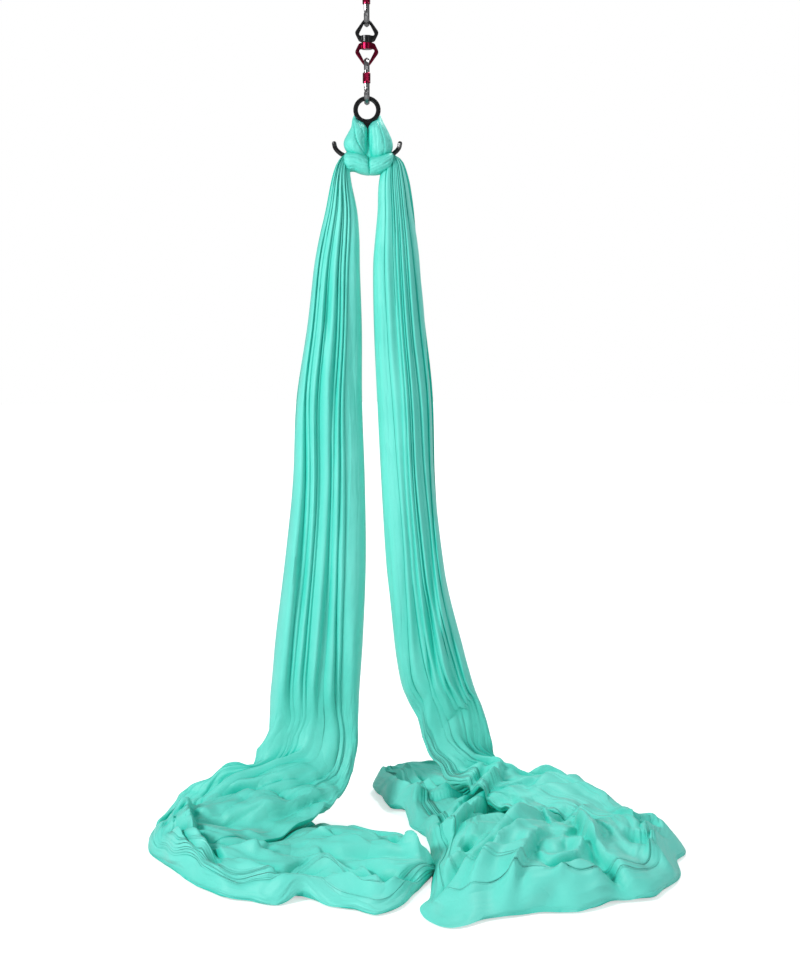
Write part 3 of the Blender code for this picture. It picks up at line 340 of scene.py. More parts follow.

# %% [markdown]
# ## The cloth's finish
# Tricot is a fine warp knit: smooth and faintly silky, with wales 0.7 mm apart that run
# along the cloth. Its colour here is a clear mint. The knit is worked out from the sheet's
# own coordinates, which say how many metres along and across the cut each point lies, so
# that it follows every fold. One more group paints shade deep in a fold, and another raises
# the thin creases that handling leaves in loose cloth, too fine to be modelled.

# %% Shader groups for tricot
def knit_relief():
    """Height of the wales and courses from cloth coordinates in metres."""
    group, given, found = new_group("knit_relief", {"Wales per Metre": 1400.0,
                                                    "Courses per Metre": 1700.0},
                                    ["Height", "Drift"])
    cloth = add_node(group, "ShaderNodeUVMap", {}, uv_map="cloth")
    split = add_node(group, "ShaderNodeSeparateXYZ", {0: cloth.outputs["UV"]})
    waves = []
    for axis, rate in (("X", "Wales per Metre"), ("Y", "Courses per Metre")):
        count = reckon(group, "MULTIPLY", split.outputs[axis], given[rate])
        waves.append(reckon(group, "SINE", reckon(group, "MULTIPLY", count, 2 * math.pi)))
    place = group.nodes.new("ShaderNodeTexCoord")
    drift = add_node(group, "ShaderNodeTexNoise",
                     {"Vector": place.outputs["Object"], "Scale": 9, "Detail": 5})
    feed(group, found, {"Height": reckon(group, "ADD", *waves), "Drift": drift.outputs["Fac"]})
    return group


# painted shade: where the cloth sees little free sky, a darker green is mixed into its colour
OPEN_TO_SHADED = (0.94, 0.50)  # share of free sky where a fold starts to count, and is deep


def painted_fold_shade():
    """Mask of painted shade: 1 deep in a fold, where light arrives only by way of other cloth."""
    group, given, found = new_group("painted_fold_shade", {"Reach": 0.035}, ["Mask"])
    open_sky = add_node(group, "ShaderNodeAmbientOcclusion", {"Distance": given["Reach"]},
                        samples=6)
    feed(group, found, {"Mask": remap(group, open_sky.outputs["AO"], OPEN_TO_SHADED)})
    return group


LOOSENS = 0.20  # metres below the start of the loose cloth where its creases are full
TAIL_CREASES = 0.25  # share of their depth that is left on the tail


def thin_creases():
    """Height of the thin creases that handling leaves, long along the cloth and narrow
    across it. They are deeper low down, where the cloth lies loose."""
    group, given, found = new_group("thin_creases", {"Across per Metre": 17.0,
                                                     "Along per Metre": 6.0,
                                                     "Loose Below": -1.62}, ["Height"])
    cloth = add_node(group, "ShaderNodeUVMap", {}, uv_map="cloth")
    rates = add_node(group, "ShaderNodeCombineXYZ",
                     {"X": given["Across per Metre"], "Y": given["Along per Metre"]})
    cells = add_node(group, "ShaderNodeVectorMath",
                     {0: cloth.outputs["UV"], 1: rates.outputs[0]}, operation="MULTIPLY")
    wander = add_node(group, "ShaderNodeTexNoise",
                      {"Vector": cells.outputs[0], "Scale": 0.9, "Detail": 3})
    bent = add_node(group, "ShaderNodeVectorMath",
                    {0: wander.outputs["Color"], 1: (1.6, 1.6, 0), 2: cells.outputs[0]},
                    operation="MULTIPLY_ADD")
    facets = add_node(group, "ShaderNodeTexVoronoi", {"Vector": bent.outputs[0], "Scale": 1},
                      voronoi_dimensions="2D")
    place = group.nodes.new("ShaderNodeTexCoord")
    split = add_node(group, "ShaderNodeSeparateXYZ", {0: place.outputs["Object"]})
    below = reckon(group, "SUBTRACT", given["Loose Below"], split.outputs["Z"])
    loose = remap(group, below, (0, LOOSENS), (TAIL_CREASES, 1))
    feed(group, found, {"Height": reckon(group, "MULTIPLY", facets.outputs["Distance"], loose)})
    return group


THIN_CREASES = thin_creases()
KNIT_RELIEF = knit_relief()
PAINTED_FOLD_SHADE = painted_fold_shade()
print("groups:", KNIT_RELIEF.name, PAINTED_FOLD_SHADE.name, THIN_CREASES.name)

# %% [markdown]
# The mint drifts a little between a fresh and a faded tone. Deep in a fold a darker, purer
# green is painted into the colour: painted shade, which also stands for the light bounced from
# cloth to cloth there. The knit's bump sits on top of the creases'.

# %% Tricot
CREASE_BUMP = 0.0110
KNIT_BUMP = 0.00004
KNIT_STRENGTH = 0.35
CLOTH_ROUGHNESS = (0.40, 0.54)


def tricot(name, colour, faded_colour, painted_shade_colour):
    """Knitted cloth with a soft sheen, creased where it is loose, with shade painted into its
    folds.
    """
    material = bpy.data.materials.new(name)
    material.use_nodes = True
    tree = material.node_tree
    knit = add_node(tree, "ShaderNodeGroup", {}, node_tree=KNIT_RELIEF)
    depth = add_node(tree, "ShaderNodeGroup", {}, node_tree=PAINTED_FOLD_SHADE)
    creases = add_node(tree, "ShaderNodeGroup", {}, node_tree=THIN_CREASES)
    drift = remap(tree, knit.outputs["Drift"], (0.35, 0.70))
    tint = mix_colours(tree, drift, (*colour, 1), (*faded_colour, 1))
    # painted shade: a darker, purer green mixed into the colour deep in folds
    shade_painted_tint = mix_colours(tree, depth.outputs["Mask"], tint, (*painted_shade_colour, 1))
    gloss = remap(tree, knit.outputs["Drift"], wanted=CLOTH_ROUGHNESS)
    creased = add_node(tree, "ShaderNodeBump",
                       {"Distance": CREASE_BUMP, "Height": creases.outputs["Height"]})
    knitted = add_node(tree, "ShaderNodeBump",
                       {"Strength": KNIT_STRENGTH, "Distance": KNIT_BUMP,
                        "Height": knit.outputs["Height"], "Normal": creased.outputs["Normal"]})
    feed(tree, tree.nodes["Principled BSDF"],
         {"Base Color": shade_painted_tint, "Roughness": gloss, "Specular IOR Level": 0.35,
          "Sheen Weight": 0.18, "Sheen Roughness": 0.4, "Normal": knitted.outputs["Normal"]})
    return material


# the third colour is the painted shade for deep in the folds
MINT = tricot("mint_tricot", (0.166, 0.765, 0.655), (0.125, 0.705, 0.595),
              (0.012, 0.600, 0.480))
print("cloth finish:", MINT.name)

# %% [markdown]
# ## One side of the cloth
# A sheet 2.8 metres wide is gathered into a tail less than a tenth as wide. Looked at from
# below, such a tail is a flat bundle: strips of cloth show all round it, and between two
# strips the cloth runs in, turns, and comes back out as a hidden fold. So the sheet is made
# as what a tailor would lay: one cross-section with its strips and hidden folds, swept
# along two rails. The rails are the left and right edge of the bundle, first down the tail
# and then round the laps on the floor. Gathering, hanging and lying are then one surface,
# and its real width stays in it, most of it out of sight.

# %% The cross-section
FOLD_LEAN = math.radians(64)  # hidden folds lie slanted, so that more cloth fits
FOLD_REACH = 0.84  # share of half the bundle's depth that a fold runs in
FOLD_STATIONS = (0.25, 0.6, 0.95)
FOLD_TRIES, FOLD_SHORTER = 12, 0.85  # how often a fold is shortened to fit, and to what share
CROWN_ROUND = 0.8  # power of a strip's swell: below 1 it is fuller than a wave
TAIL_OVAL = (2.6, 0.38)  # powers of the bundle's outline: full, with round edges
LAP_OVAL = (1.9, 0.80)  # and with thin edges, as cloth that lies flat
NARROW_COLUMNS = 8
WIDE_COLUMNS = 84
BACK_COLUMNS = 4
BACK_HALF = 64  # points of half the back, folds and all
WIDEST_SWELL = 0.050  # a strip swells as if it were no wider than this
MOUTH = 0.0012  # half the slot that shows between two strips
SHUT_MOUTH = 0.0003
LIP = 0.0022  # how far a strip's edge stands up over its neighbour
PANEL_LIP = 0.0060
LIP_WIDTH = 0.009
PLEAT_LEAN = 1.7  # 1 is an even swell, more puts its top towards the fold it laps over


def bundle_outline(half_width, half_depth, oval):
    """A function that gives half the depth of the bundle at x from its middle."""
    def half_depth_at(x):
        return half_depth * max(0.0, 1 - abs(x / half_width) ** oval[0]) ** oval[1]
    return half_depth_at


def hidden_fold(x, side, lean, ahead, air, outline):
    """Points down one layer of a fold and up the other, shortened to stay in the bundle."""
    top = outline(x)
    length = top * FOLD_REACH / math.cos(FOLD_LEAN)
    for _ in range(FOLD_TRIES):
        tip_x = x + lean * length * math.sin(FOLD_LEAN)
        tip_out = top - length * math.cos(FOLD_LEAN)
        if outline(tip_x) - tip_out > 2 * air + 0.001 and tip_out > 0.1 * top:
            break
        length *= FOLD_SHORTER
    run_x = lean * math.sin(FOLD_LEAN) * length
    run_out = -side * math.cos(FOLD_LEAN) * length
    down = [(x + run_x * t - ahead * air / 2, side * top + run_out * t) for t in FOLD_STATIONS]
    up = [(x + run_x * t + ahead * air / 2, side * top + run_out * t)
          for t in reversed(FOLD_STATIONS)]
    return down + up


def strips(start, end, shares, columns, side, lean, air, crowns, outline, mouth=MOUTH):
    """Strips from start to end on the front (side 1) or the back (-1), with their folds.
    crowns says how far each strip swells, as a share of its width."""
    edges = start + (end - start) * np.concatenate([[0], np.cumsum(shares) / np.sum(shares)])
    ahead = math.copysign(1, end - start)
    found = []
    for k, count in enumerate(columns):
        low = edges[k] + (ahead * mouth if k else 0)
        high = edges[k + 1] - (ahead * mouth if k < len(columns) - 1 else 0)
        crown = crowns[k] * min(abs(high - low), WIDEST_SWELL)
        for t in np.linspace(0, 1, count):
            x = low + (high - low) * t
            rise = t if lean * ahead > 0 else 1 - t
            out = outline(x) + crown * math.sin(math.pi * rise**PLEAT_LEAN) ** CROWN_ROUND
            if 0 < k or lean * ahead > 0:
                lip = (PANEL_LIP if count == WIDE_COLUMNS else LIP) * mouth / MOUTH
                out += lip * math.exp(-(1 - rise) * abs(high - low) / LIP_WIDTH)
            found.append((x, side * out))
        if k < len(columns) - 1:
            found += hidden_fold(edges[k + 1], side, lean, ahead, air, outline)
    return found


def gathered_section(half_width, outline, front, back, crowns, air, panel_side, mouth=MOUTH):
    """The whole sheet across, from the middle of the back round the front to it again."""
    half = len(back) // 2
    back_columns = [BACK_COLUMNS] * half
    front_columns = [NARROW_COLUMNS] * len(front)
    front_columns[-1 if panel_side > 0 else 0] = WIDE_COLUMNS
    even = [0.25] * half
    found = strips(-air, -half_width, back[:half], back_columns, -1, -panel_side, air, even,
                   outline)
    found += strips(-half_width, half_width, front, front_columns, 1, panel_side, air, crowns,
                    outline, mouth)
    found += strips(half_width, air, back[half:], back_columns, -1, -panel_side, air, even,
                    outline)
    return np.array(found)


trial = gathered_section(0.10, bundle_outline(0.10, 0.05, TAIL_OVAL), [1] * 8 + [4], [1] * 14,
                         [0.25] * 9, 0.004, 1)
across = np.linalg.norm(np.diff(trial, axis=0), axis=1).sum()
print("a bundle 200 by 100 mm takes", round(float(across), 2), "m of cloth,", len(trial), "points")

# %% [markdown]
# ## Rails
# The rails are smooth curves through a few places. The tail's places were read off the
# photograph against the hang line, and the places on the floor were found where the
# camera's rays meet it. Each row is the left and right edge of the bundle and half its
# depth there. The curve is read at even steps, which are finer where the cloth is loose.

# %% Rails
TAIL_STEP = 0.013
LAP_STEP = 0.0050
CURVE_POINTS = 24  # points of the curve between two places, before it is read evenly


def smooth_rows(rows, finer_from, fine_step=LAP_STEP):
    """A Catmull-Rom curve through the rows, read at even steps along its middle, which are
    shorter from finer_from metres on."""
    rows = [np.array(r, float) for r in rows]
    rows = [2 * rows[0] - rows[1]] + rows + [2 * rows[-1] - rows[-2]]
    fine = []
    for a, b, c, d in zip(rows, rows[1:], rows[2:], rows[3:]):
        for t in np.linspace(0, 1, CURVE_POINTS, endpoint=False):
            fine.append(0.5 * (2 * b + (c - a) * t + (2 * a - 5 * b + 4 * c - d) * t**2
                               + (3 * b - a - 3 * c + d) * t**3))
    fine = np.array(fine + [rows[-2]])
    middle = (fine[:, 0:3] + fine[:, 3:6]) / 2
    length = np.concatenate([[0], np.cumsum(np.linalg.norm(np.diff(middle, axis=0), axis=1))])
    places = np.concatenate([np.arange(0, finer_from, TAIL_STEP),
                             np.arange(finer_from, length[-1], fine_step), length[-1:]])
    return np.stack([np.interp(places, length, column) for column in fine.T], axis=1), places


def tail_rails(widths, depths):
    """Rails of a tail that hangs in the plane of the hang line: (z, left x, right x)."""
    return [(left, 0, z, right, 0, z, depth) for (z, left, right), depth in zip(widths, depths)]


def floor_rails(rows):
    """Rails over the floor: left x, y, height, right x, y, height, half the depth."""
    return [(a, b, FLOOR_Z + c, d, e, FLOOR_Z + f, depth) for a, b, c, d, e, f, depth in rows]


print("rails are read every", TAIL_STEP, "m, and every", LAP_STEP, "m where the cloth lies")

# %% [markdown]
# ## Smooth noise
# Cloth that was let down has no two folds alike. A cloth simulation was tried for that. On
# a sheet with this many layers it gave shelf-like pleats and spiky crumples, so the folds
# are made by code. They rest on smooth noise: random values at even places, with a soft way
# from one to the next. The values come from a seed, so each run gives the same folds.

# %% Smooth noise
NOISE_KNOTS = 64  # random values before the noise repeats itself
CORNER_KNOTS = 200


def soft_step(low, high, value):
    """0 up to low, 1 from high on, and a smooth way between them."""
    t = np.clip((value - low) / (high - low), 0, 1)
    return t * t * (3 - 2 * t)


def drift_along(places, seed, spacing):
    """Smooth noise between -1 and 1 along a length."""
    knots = np.random.default_rng(seed).uniform(-1, 1, NOISE_KNOTS)
    slot = places / spacing
    low = np.floor(slot).astype(int)
    t = soft_step(0, 1, slot - low)
    return knots[low % NOISE_KNOTS] * (1 - t) + knots[(low + 1) % NOISE_KNOTS] * t


def drifts(places, seed, strip_count, spacing):
    """One drift along the length for each strip, as columns."""
    return np.stack([drift_along(places, seed + k, spacing) for k in range(strip_count)], 1)


def corners_along(places, seed, spacing):
    """Noise between -1 and 1 with straight runs and corners."""
    knots = np.random.default_rng(seed).uniform(-1, 1, CORNER_KNOTS)
    return np.interp(places / spacing, np.arange(CORNER_KNOTS), knots)


def noise_on(u, v, seed):
    """Smooth noise between -1 and 1 over a plane, one knot a unit."""
    knots = np.random.default_rng(seed).uniform(-1, 1, (NOISE_KNOTS, NOISE_KNOTS))
    i, j = np.floor(u).astype(int), np.floor(v).astype(int)
    s, t = soft_step(0, 1, u - i), soft_step(0, 1, v - j)
    i, j, i_next, j_next = (index % NOISE_KNOTS for index in (i, j, i + 1, j + 1))
    near = knots[i, j] * (1 - s) + knots[i_next, j] * s
    far = knots[i, j_next] * (1 - s) + knots[i_next, j_next] * s
    return near * (1 - t) + far * t


print("a drift along half a metre:", np.round(drift_along(np.arange(0, 0.5, 0.1), 1, 0.2), 2))

# %% [markdown]
# ## Creases that move all layers
# A hanging tail isn't smooth: the gathered cloth pulls itself into long shallow creases
# that follow the load. Lower down, where the load ends, the whole bundle wanders. Both are
# made by moving every layer of the bundle by the same pattern, so the layers stay apart.

# %% Long creases and waves
ROUND_CREASES = (34, 2.2)  # knots of noise in a metre, across the tail and down it
CRISP_CREASES = (22, 1.3)
SWIRL_WAVES = 9


def long_creases(points, amount, seed):
    """Shallow creases that run down a tail. All layers move together towards the eye."""
    x, z = points[:, :, 0], points[:, :, 2]
    slant = x + 0.020 * noise_on(x * 4, z * 3, seed)
    push = 0.60 * noise_on(slant * ROUND_CREASES[0], z * ROUND_CREASES[1], seed + 1)
    crisp = noise_on(slant * CRISP_CREASES[0] + z * 1.6, z * CRISP_CREASES[1], seed + 2)
    push += 0.40 * (1 - 2 * np.abs(crisp))
    moved = points.copy()
    moved[:, :, 1] -= amount * push
    return moved


def swirl(points, amount, seed, wavelength):
    """Moves all layers together by a few crossed waves, as loose cloth lies."""
    rng = np.random.default_rng(seed)
    moved = np.zeros_like(points)
    for _ in range(SWIRL_WAVES):
        along = rng.normal(size=3)
        push = rng.normal(size=3)
        turn = 2 * math.pi / (wavelength * rng.uniform(0.7, 1.6))
        phase = rng.uniform(0, 2 * math.pi)
        wave = np.sin(points @ (along / np.linalg.norm(along)) * turn + phase)
        moved += wave[..., None] * push / np.linalg.norm(push)
    return moved * np.broadcast_to(amount, points.shape[:2])[..., None] / math.sqrt(SWIRL_WAVES)


print("long creases a metre:", ROUND_CREASES[0], "and", CRISP_CREASES[0])

# %% [markdown]
# ## The way the cloth lies
# Each heap has a grain. On the left the cloth was let down round a line, forward and back
# along it. On the right it fans out from one knot at the back, where the tail turns round.
# Two measures hold such a grain: how far a point lies along it, and how far beside it.

# %% The way the cloth lies
LEFT_SPINE = [(-0.330, -0.230), (-0.150, -0.270), (0.160, -0.300)]
KNOT = (0.505, -0.030)
KNOT_CALM = (0.10, 0.28)  # metres from the knot: no swells up to the first, full from the second
FAN_REACH = 0.30  # how far from the knot the way beside the grain is measured
FAR_AWAY = 9.0


def nearest_on(line, points):
    """The nearest place on a line over the floor, for each point: how far away it is, how
    far along the line, the distance again with its side as a sign (left is more than 0),
    and the direction that points to the left there."""
    plan = points[:, :, :2]
    nearest = np.full(plan.shape[:2], FAR_AWAY)
    along = np.zeros(plan.shape[:2])
    signed = np.zeros(plan.shape[:2])
    leftwards = np.zeros(plan.shape)
    gone = 0.0
    for a, b in zip(line, line[1:]):
        a, b = np.array(a), np.array(b)
        run = b - a
        size = np.linalg.norm(run)
        t = np.clip(((plan - a) @ run) / size**2, 0, 1)
        away = plan - a - t[..., None] * run
        far = np.linalg.norm(away, axis=-1)
        normal = np.array([-run[1], run[0]]) / size
        closer = far < nearest
        nearest = np.where(closer, far, nearest)
        along = np.where(closer, gone + t * size, along)
        signed = np.where(closer, np.sign(away @ normal) * far, signed)
        leftwards = np.where(closer[..., None], normal, leftwards)
        gone += size
    return nearest, along, signed, leftwards


def left_flow(points):
    """How far along the left heap's line a point lies, how far beside it, and how strong
    the swells are there."""
    beside, along, _, _ = nearest_on(LEFT_SPINE, points)
    return along, beside, 1.0


def right_flow(points):
    """The same for the right heap, whose grain runs to its knot from all round."""
    away = points[:, :, :2] - np.array(KNOT)
    reach = np.linalg.norm(away, axis=-1)
    beside = FAN_REACH * np.arctan2(away[..., 1], away[..., 0])
    return reach, beside, soft_step(*KNOT_CALM, reach)


print("the left heap's line:", LEFT_SPINE, "the right heap's knot:", KNOT)

# %% [markdown]
# Swells of three widths follow that grain, as air and bulk lift the cloth between creases.
# Over them lie crossed creases: crisp ridges round shallow hollows, like the facets of a
# crumpled sheet. Each fades out at the floor, so that nothing sinks through it.

# %% Swells and crossed creases
SWELLS = ((0.085, 1.0), (0.048, 0.60), (0.027, 0.25))  # metres wide, share of the height
SWELL_LONG = 5  # times as long as it is wide
SWELL_TOP = 0.6  # value of the noise from which a swell is flat on top
CREASE_LONG, CREASE_WIDE = 0.150, 0.048  # metres from one crease to the next
HOLLOW = 0.4  # spacings from a hollow's middle at which the cloth keeps its height


def off_floor(points, height):
    """0 on the floor and 1 from a height on, so that cloth on the floor stays there."""
    return np.clip((points[:, :, 2] - FLOOR_Z) / height, 0, 1)


def long_swells(points, along, beside, amount, seed):
    """Swells that run the way the cloth was laid, round on top and crisp between two."""
    bent = beside + 0.040 * noise_on(along * 6, beside * 5, seed)
    bent += 0.12 * along * noise_on(along * 2.5, beside * 3, seed + 1)
    lift = np.zeros(along.shape)
    for k, (width, share) in enumerate(SWELLS):
        noise = noise_on(bent / width, along / (SWELL_LONG * width), seed + 5 + k)
        swell = np.minimum(np.abs(noise), SWELL_TOP)
        lift += share * ((swell / SWELL_TOP) ** 0.8 - 0.5)
    busy = 0.35 + 0.65 * soft_step(-0.35, 0.35, noise_on(along * 5, beside * 6, seed + 9))
    moved = points.copy()
    moved[:, :, 2] += amount * busy * lift * off_floor(points, 0.05)
    return moved


def crossed_creases(points, along, beside, amount, seed):
    """Crisp ridges round shallow hollows, longer the way the cloth runs than across it."""
    scatter = np.random.default_rng(seed).uniform(0.1, 0.9, (2, NOISE_KNOTS, NOISE_KNOTS))
    u = along / CREASE_LONG + 0.6 * noise_on(beside * 9, along * 5, seed + 1)
    v = beside / CREASE_WIDE + 0.6 * noise_on(along * 7, beside * 6, seed + 2)
    nearest = np.full(u.shape, FAR_AWAY)
    for i in (-1, 0, 1):
        for j in (-1, 0, 1):
            a, b = np.floor(u).astype(int) + i, np.floor(v).astype(int) + j
            shift_u, shift_v = scatter[:, a % NOISE_KNOTS, b % NOISE_KNOTS]
            nearest = np.minimum(nearest, np.hypot(u - a - shift_u, v - b - shift_v))
    moved = points.copy()
    moved[:, :, 2] += amount * (nearest - HOLLOW) * off_floor(points, 0.03)
    return moved


print("swells:", SWELLS, "crossed creases:", CREASE_LONG, "by", CREASE_WIDE, "m")

# %% [markdown]
# ## Single folds
# The folds that the eye picks out in the photograph are drawn one by one, as lines over the
# heap. A real fold isn't the same on both sides: the cloth rises slowly to the crest and
# drops steeply behind it, into a crease. The crest leans over that drop. Among the drawn
# ones, small folds at random places break up what would be too even.

# %% Drawn and scattered folds
SCATTERED = 48  # small folds a side
HEAP_TOP = 0.12  # small folds start below this height
BACK_EDGE = 30  # columns at the back where none starts
OFF_GRAIN, CREST_BENDS = 0.22, 0.25  # radians that a small crest leaves the grain, and turns
SMALL_STEPS = (2, 5)  # straight runs of a small crest, the second number not included
SMALL_RUN = (0.035, 0.080)
SMALL_LIFT, SMALL_SOFT, SMALL_STEEP = (0.004, 0.010), (0.020, 0.050), (0.008, 0.014)
UP_OR_DOWN = (1, 1, 1, -0.8)  # one small fold in four is a hollow
PROBE = 0.002  # metres to the side, to measure which way the grain runs
CREST_ROUND = 0.004
FOLD_HEIGHT = 1.25  # times the height that a fold is listed with
LEAN_OVER = 0.38  # how far a crest leans out over its drop, as a share of it
CREASE_DEPTH = 0.35  # how far below the heap the crease lies, as a share of the fold's height


def fold_line(points, path, lift, soft, steep):
    """One drawn fold over the heap: path is its crest on the floor plan. It rises over soft
    metres on the right of the path and drops within steep metres on the left, to a crease."""
    _, along, signed, leftwards = nearest_on(path, points)
    share = along / sum(math.dist(a, b) for a, b in zip(path, path[1:]))
    from_crest = np.sqrt(signed**2 + CREST_ROUND**2) - CREST_ROUND
    rise = np.maximum(1 - from_crest / soft, 0)
    drop = np.where(signed < steep, (1 + CREASE_DEPTH) * (1 - from_crest / steep) - CREASE_DEPTH,
                    -CREASE_DEPTH * np.exp(-(signed - steep) / (0.6 * soft)))
    ends = soft_step(0, 0.3, share) * soft_step(1, 0.7, share)
    crest = np.where(signed > 0, drop, rise) * ends
    crest *= off_floor(points, 0.02)
    moved = points.copy()
    moved[:, :, 2] += FOLD_HEIGHT * lift * crest
    moved[:, :, :2] += (LEAN_OVER * steep * np.maximum(crest, 0))[..., None] * leftwards
    return moved


def scattered_folds(points, flow, count, seed):
    """Small folds at random places on the heap, each roughly along its flow."""
    rng = np.random.default_rng(seed)
    on_top = points[:, BACK_EDGE:-BACK_EDGE]
    low = np.argwhere(on_top[:, :, 2] < FLOOR_Z + HEAP_TOP)
    found = []
    for _ in range(count):
        row, column = low[rng.integers(len(low))]
        place = on_top[row, column]
        probe = np.array([[place, place + (PROBE, 0, 0), place + (0, PROBE, 0)]])
        beside = flow(probe)[1][0]
        heading = math.atan2(beside[2] - beside[0], beside[1] - beside[0]) + math.pi / 2
        heading += rng.choice((0, math.pi)) + rng.normal(0, OFF_GRAIN)
        path = [tuple(place[:2])]
        for _ in range(rng.integers(*SMALL_STEPS)):
            step = rng.uniform(*SMALL_RUN)
            path.append((path[-1][0] + step * math.cos(heading),
                         path[-1][1] + step * math.sin(heading)))
            heading += rng.normal(0, CREST_BENDS)
        found.append((path, rng.choice(UP_OR_DOWN) * rng.uniform(*SMALL_LIFT),
                      rng.uniform(*SMALL_SOFT), rng.uniform(*SMALL_STEEP)))
    return found


print("small folds a side:", SCATTERED)

# %% [markdown]
# ## Sweeping and creasing one side
# With rails, cross-section and creases at hand, a side takes three steps. First the
# cross-section is set at every row of the rails. Its strips drift in width all along, and
# where the cloth lies on the floor the widest of them is the panel that shows. Then come
# the creases, from the tail's long ones to the small folds. Last, the cloth is evened a
# little, since real cloth never turns as sharply as a pattern can.

# %% Sweeping the cross-section
SLACK_OVER = 0.4  # metres in which a straight tail goes over to a loose one
TURNED_OVER = (0.35, 0.85)  # metres past that start where the strips take their laid widths
SWELLS_OUT = (0.05, 0.40)  # metres from the top between which the full swell comes in
TIGHT_SWELL = 0.45  # share of the swell that is left at the top
RAGGED_EDGE, RAGGED_SPACING = 0.024, 0.055  # how far the panel's edge goes in and out
LIES_FLAT = (0.45, 0.05)  # heights between which the bundle turns from hanging to lying
AIR = 0.0042  # from one layer of a fold to the other
FULL_DEPTH = 0.030  # half a bundle's depth, below which its folds have less air
WIDTH_DRIFTS = (0.45, 0.25, 0.7)  # front strips: hanging, added where slack, and finer there
BACK_DRIFT, CROWN_DRIFT = 0.6, 0.16
BACK = [1, 1.2, .9, 1, 1.1, 1, .8, 1, 1.1, .9, 1, 1.2, .8, 1]  # widths of the back's strips


def swept_side(rails, front, laid_front, crowns, panel_side, seed, slack_from, shut):
    """A side before its creases, as rows of points, with each row's place in metres from
    the top and how slack it is. slack_from is where the tail stops being straight, and
    shut lists (place, how far the front's folds are closed there)."""
    rows, places = smooth_rows(rails, slack_from)
    slack = soft_step(slack_from, slack_from + SLACK_OVER, places)
    turned_over = soft_step(*(slack_from + past for past in TURNED_OVER), places)[:, None]
    shares = np.array(front) * (1 - turned_over) + np.array(laid_front) * turned_over
    opening = 1 - np.interp(places, *zip(*shut))
    swell = opening * (TIGHT_SWELL + (1 - TIGHT_SWELL) * soft_step(*SWELLS_OUT, places))
    front_drift = drifts(places, seed, len(front), 0.45)
    back_drift = drifts(places, seed + 50, len(BACK), 0.30)
    loose_drift = drifts(places, seed + 70, len(front), 0.16)
    crown_drift = drifts(places, seed + 90, len(front), 0.6)
    edge = RAGGED_EDGE * corners_along(places, seed + 60, RAGGED_SPACING) * slack
    hanging, slacker, loosest = WIDTH_DRIFTS
    grid = []
    for i, row in enumerate(rows):
        left, right, half_depth = row[0:3].copy(), row[3:6].copy(), row[6]
        sideways = right - left
        sideways /= np.linalg.norm(sideways)
        if panel_side > 0:
            left -= edge[i] * sideways
        else:
            right += edge[i] * sideways
        width = np.linalg.norm(right - left)
        height = (row[2] + row[5]) / 2 - FLOOR_Z
        flat = soft_step(*LIES_FLAT, height)
        outward = np.array([0, -1.0, 0]) * (1 - flat) + np.array([0, 0, 1.0]) * flat
        outward -= sideways * outward.dot(sideways)
        outward /= np.linalg.norm(outward)
        air = AIR * min(1.0, half_depth / FULL_DEPTH)
        oval = np.array(TAIL_OVAL) * (1 - flat) + np.array(LAP_OVAL) * flat
        wander = (hanging + slacker * slack[i]) * front_drift[i]
        wander += loosest * slack[i] * loose_drift[i]
        section = gathered_section(
            width / 2, bundle_outline(width / 2, half_depth, oval), shares[i] * np.exp(wander),
            np.array(BACK) * np.exp(BACK_DRIFT * back_drift[i]),
            swell[i] * (np.array(crowns) + CROWN_DRIFT * crown_drift[i]), air, panel_side,
            SHUT_MOUTH + (MOUTH - SHUT_MOUTH) * opening[i])
        middle = (left + right) / 2
        grid.append(middle + section[:, :1] * sideways + section[:, 1:] * outward)
    return np.array(grid), places, slack


print("strips over the back of a side:", len(BACK))

# %% [markdown]
# The tail keeps its long creases only where it hangs, and the heap gets its swells only low
# down. Between the two, one fades out while the other comes in, so that no line shows where
# hanging ends and lying starts.

# %% Creasing and evening
FLOOR_GAP = 0.003  # the cloth's lowest layer stays this far above the floor
LONG_CREASES = 0.0100  # metres that a long crease moves the tail
TOP_CALM = (0.0, 0.5)  # metres from the top between which the long creases come in
SWIRLS = ((7, 0.009, 0.19), (8, 0.005, 0.09))  # own seed, metres of move, length of a wave
SWELL_HEIGHT = 0.030
CROSSED_HEIGHT = 0.016
HANGS = (0.10, 0.45)  # heights between which the long creases come in
LIES_LOW = (0.19, 0.08)  # and these are for the swells
LIES_LOOSE = (0.10, 0.04)  # and these for the evening
TIGHT_EVENING = 0.3  # least evening from row to row
ACROSS_EVENING = 0.7
EVENING_PASSES = 3


def rest_on_floor(grid):
    """Lifts what has sunk to the floor, in place."""
    grid[:, :, 2] = np.maximum(grid[:, :, 2], FLOOR_Z + FLOOR_GAP)


def creased(grid, places, slack, seed, folds, flow):
    """The side with all its creases, from the tail's long ones to the heap's small folds."""
    upright = soft_step(*HANGS, grid[:, :, 2] - FLOOR_Z) * soft_step(*TOP_CALM, places)[:, None]
    grid = long_creases(grid, LONG_CREASES * upright, seed + 20)
    for own_seed, move, wavelength in SWIRLS:
        grid = grid + swirl(grid, move * slack[:, None], seed + own_seed, wavelength)
    rest_on_floor(grid)
    low_down = soft_step(*LIES_LOW, grid[:, :, 2] - FLOOR_Z)
    along, beside, fades = flow(grid)
    grid = long_swells(grid, along, beside, SWELL_HEIGHT * low_down * fades, seed + 30)
    grid = crossed_creases(grid, along, beside, CROSSED_HEIGHT * low_down * fades, seed + 25)
    for fold in folds + scattered_folds(grid, flow, SCATTERED, seed + 80):
        grid = fold_line(grid, *fold)
    return grid


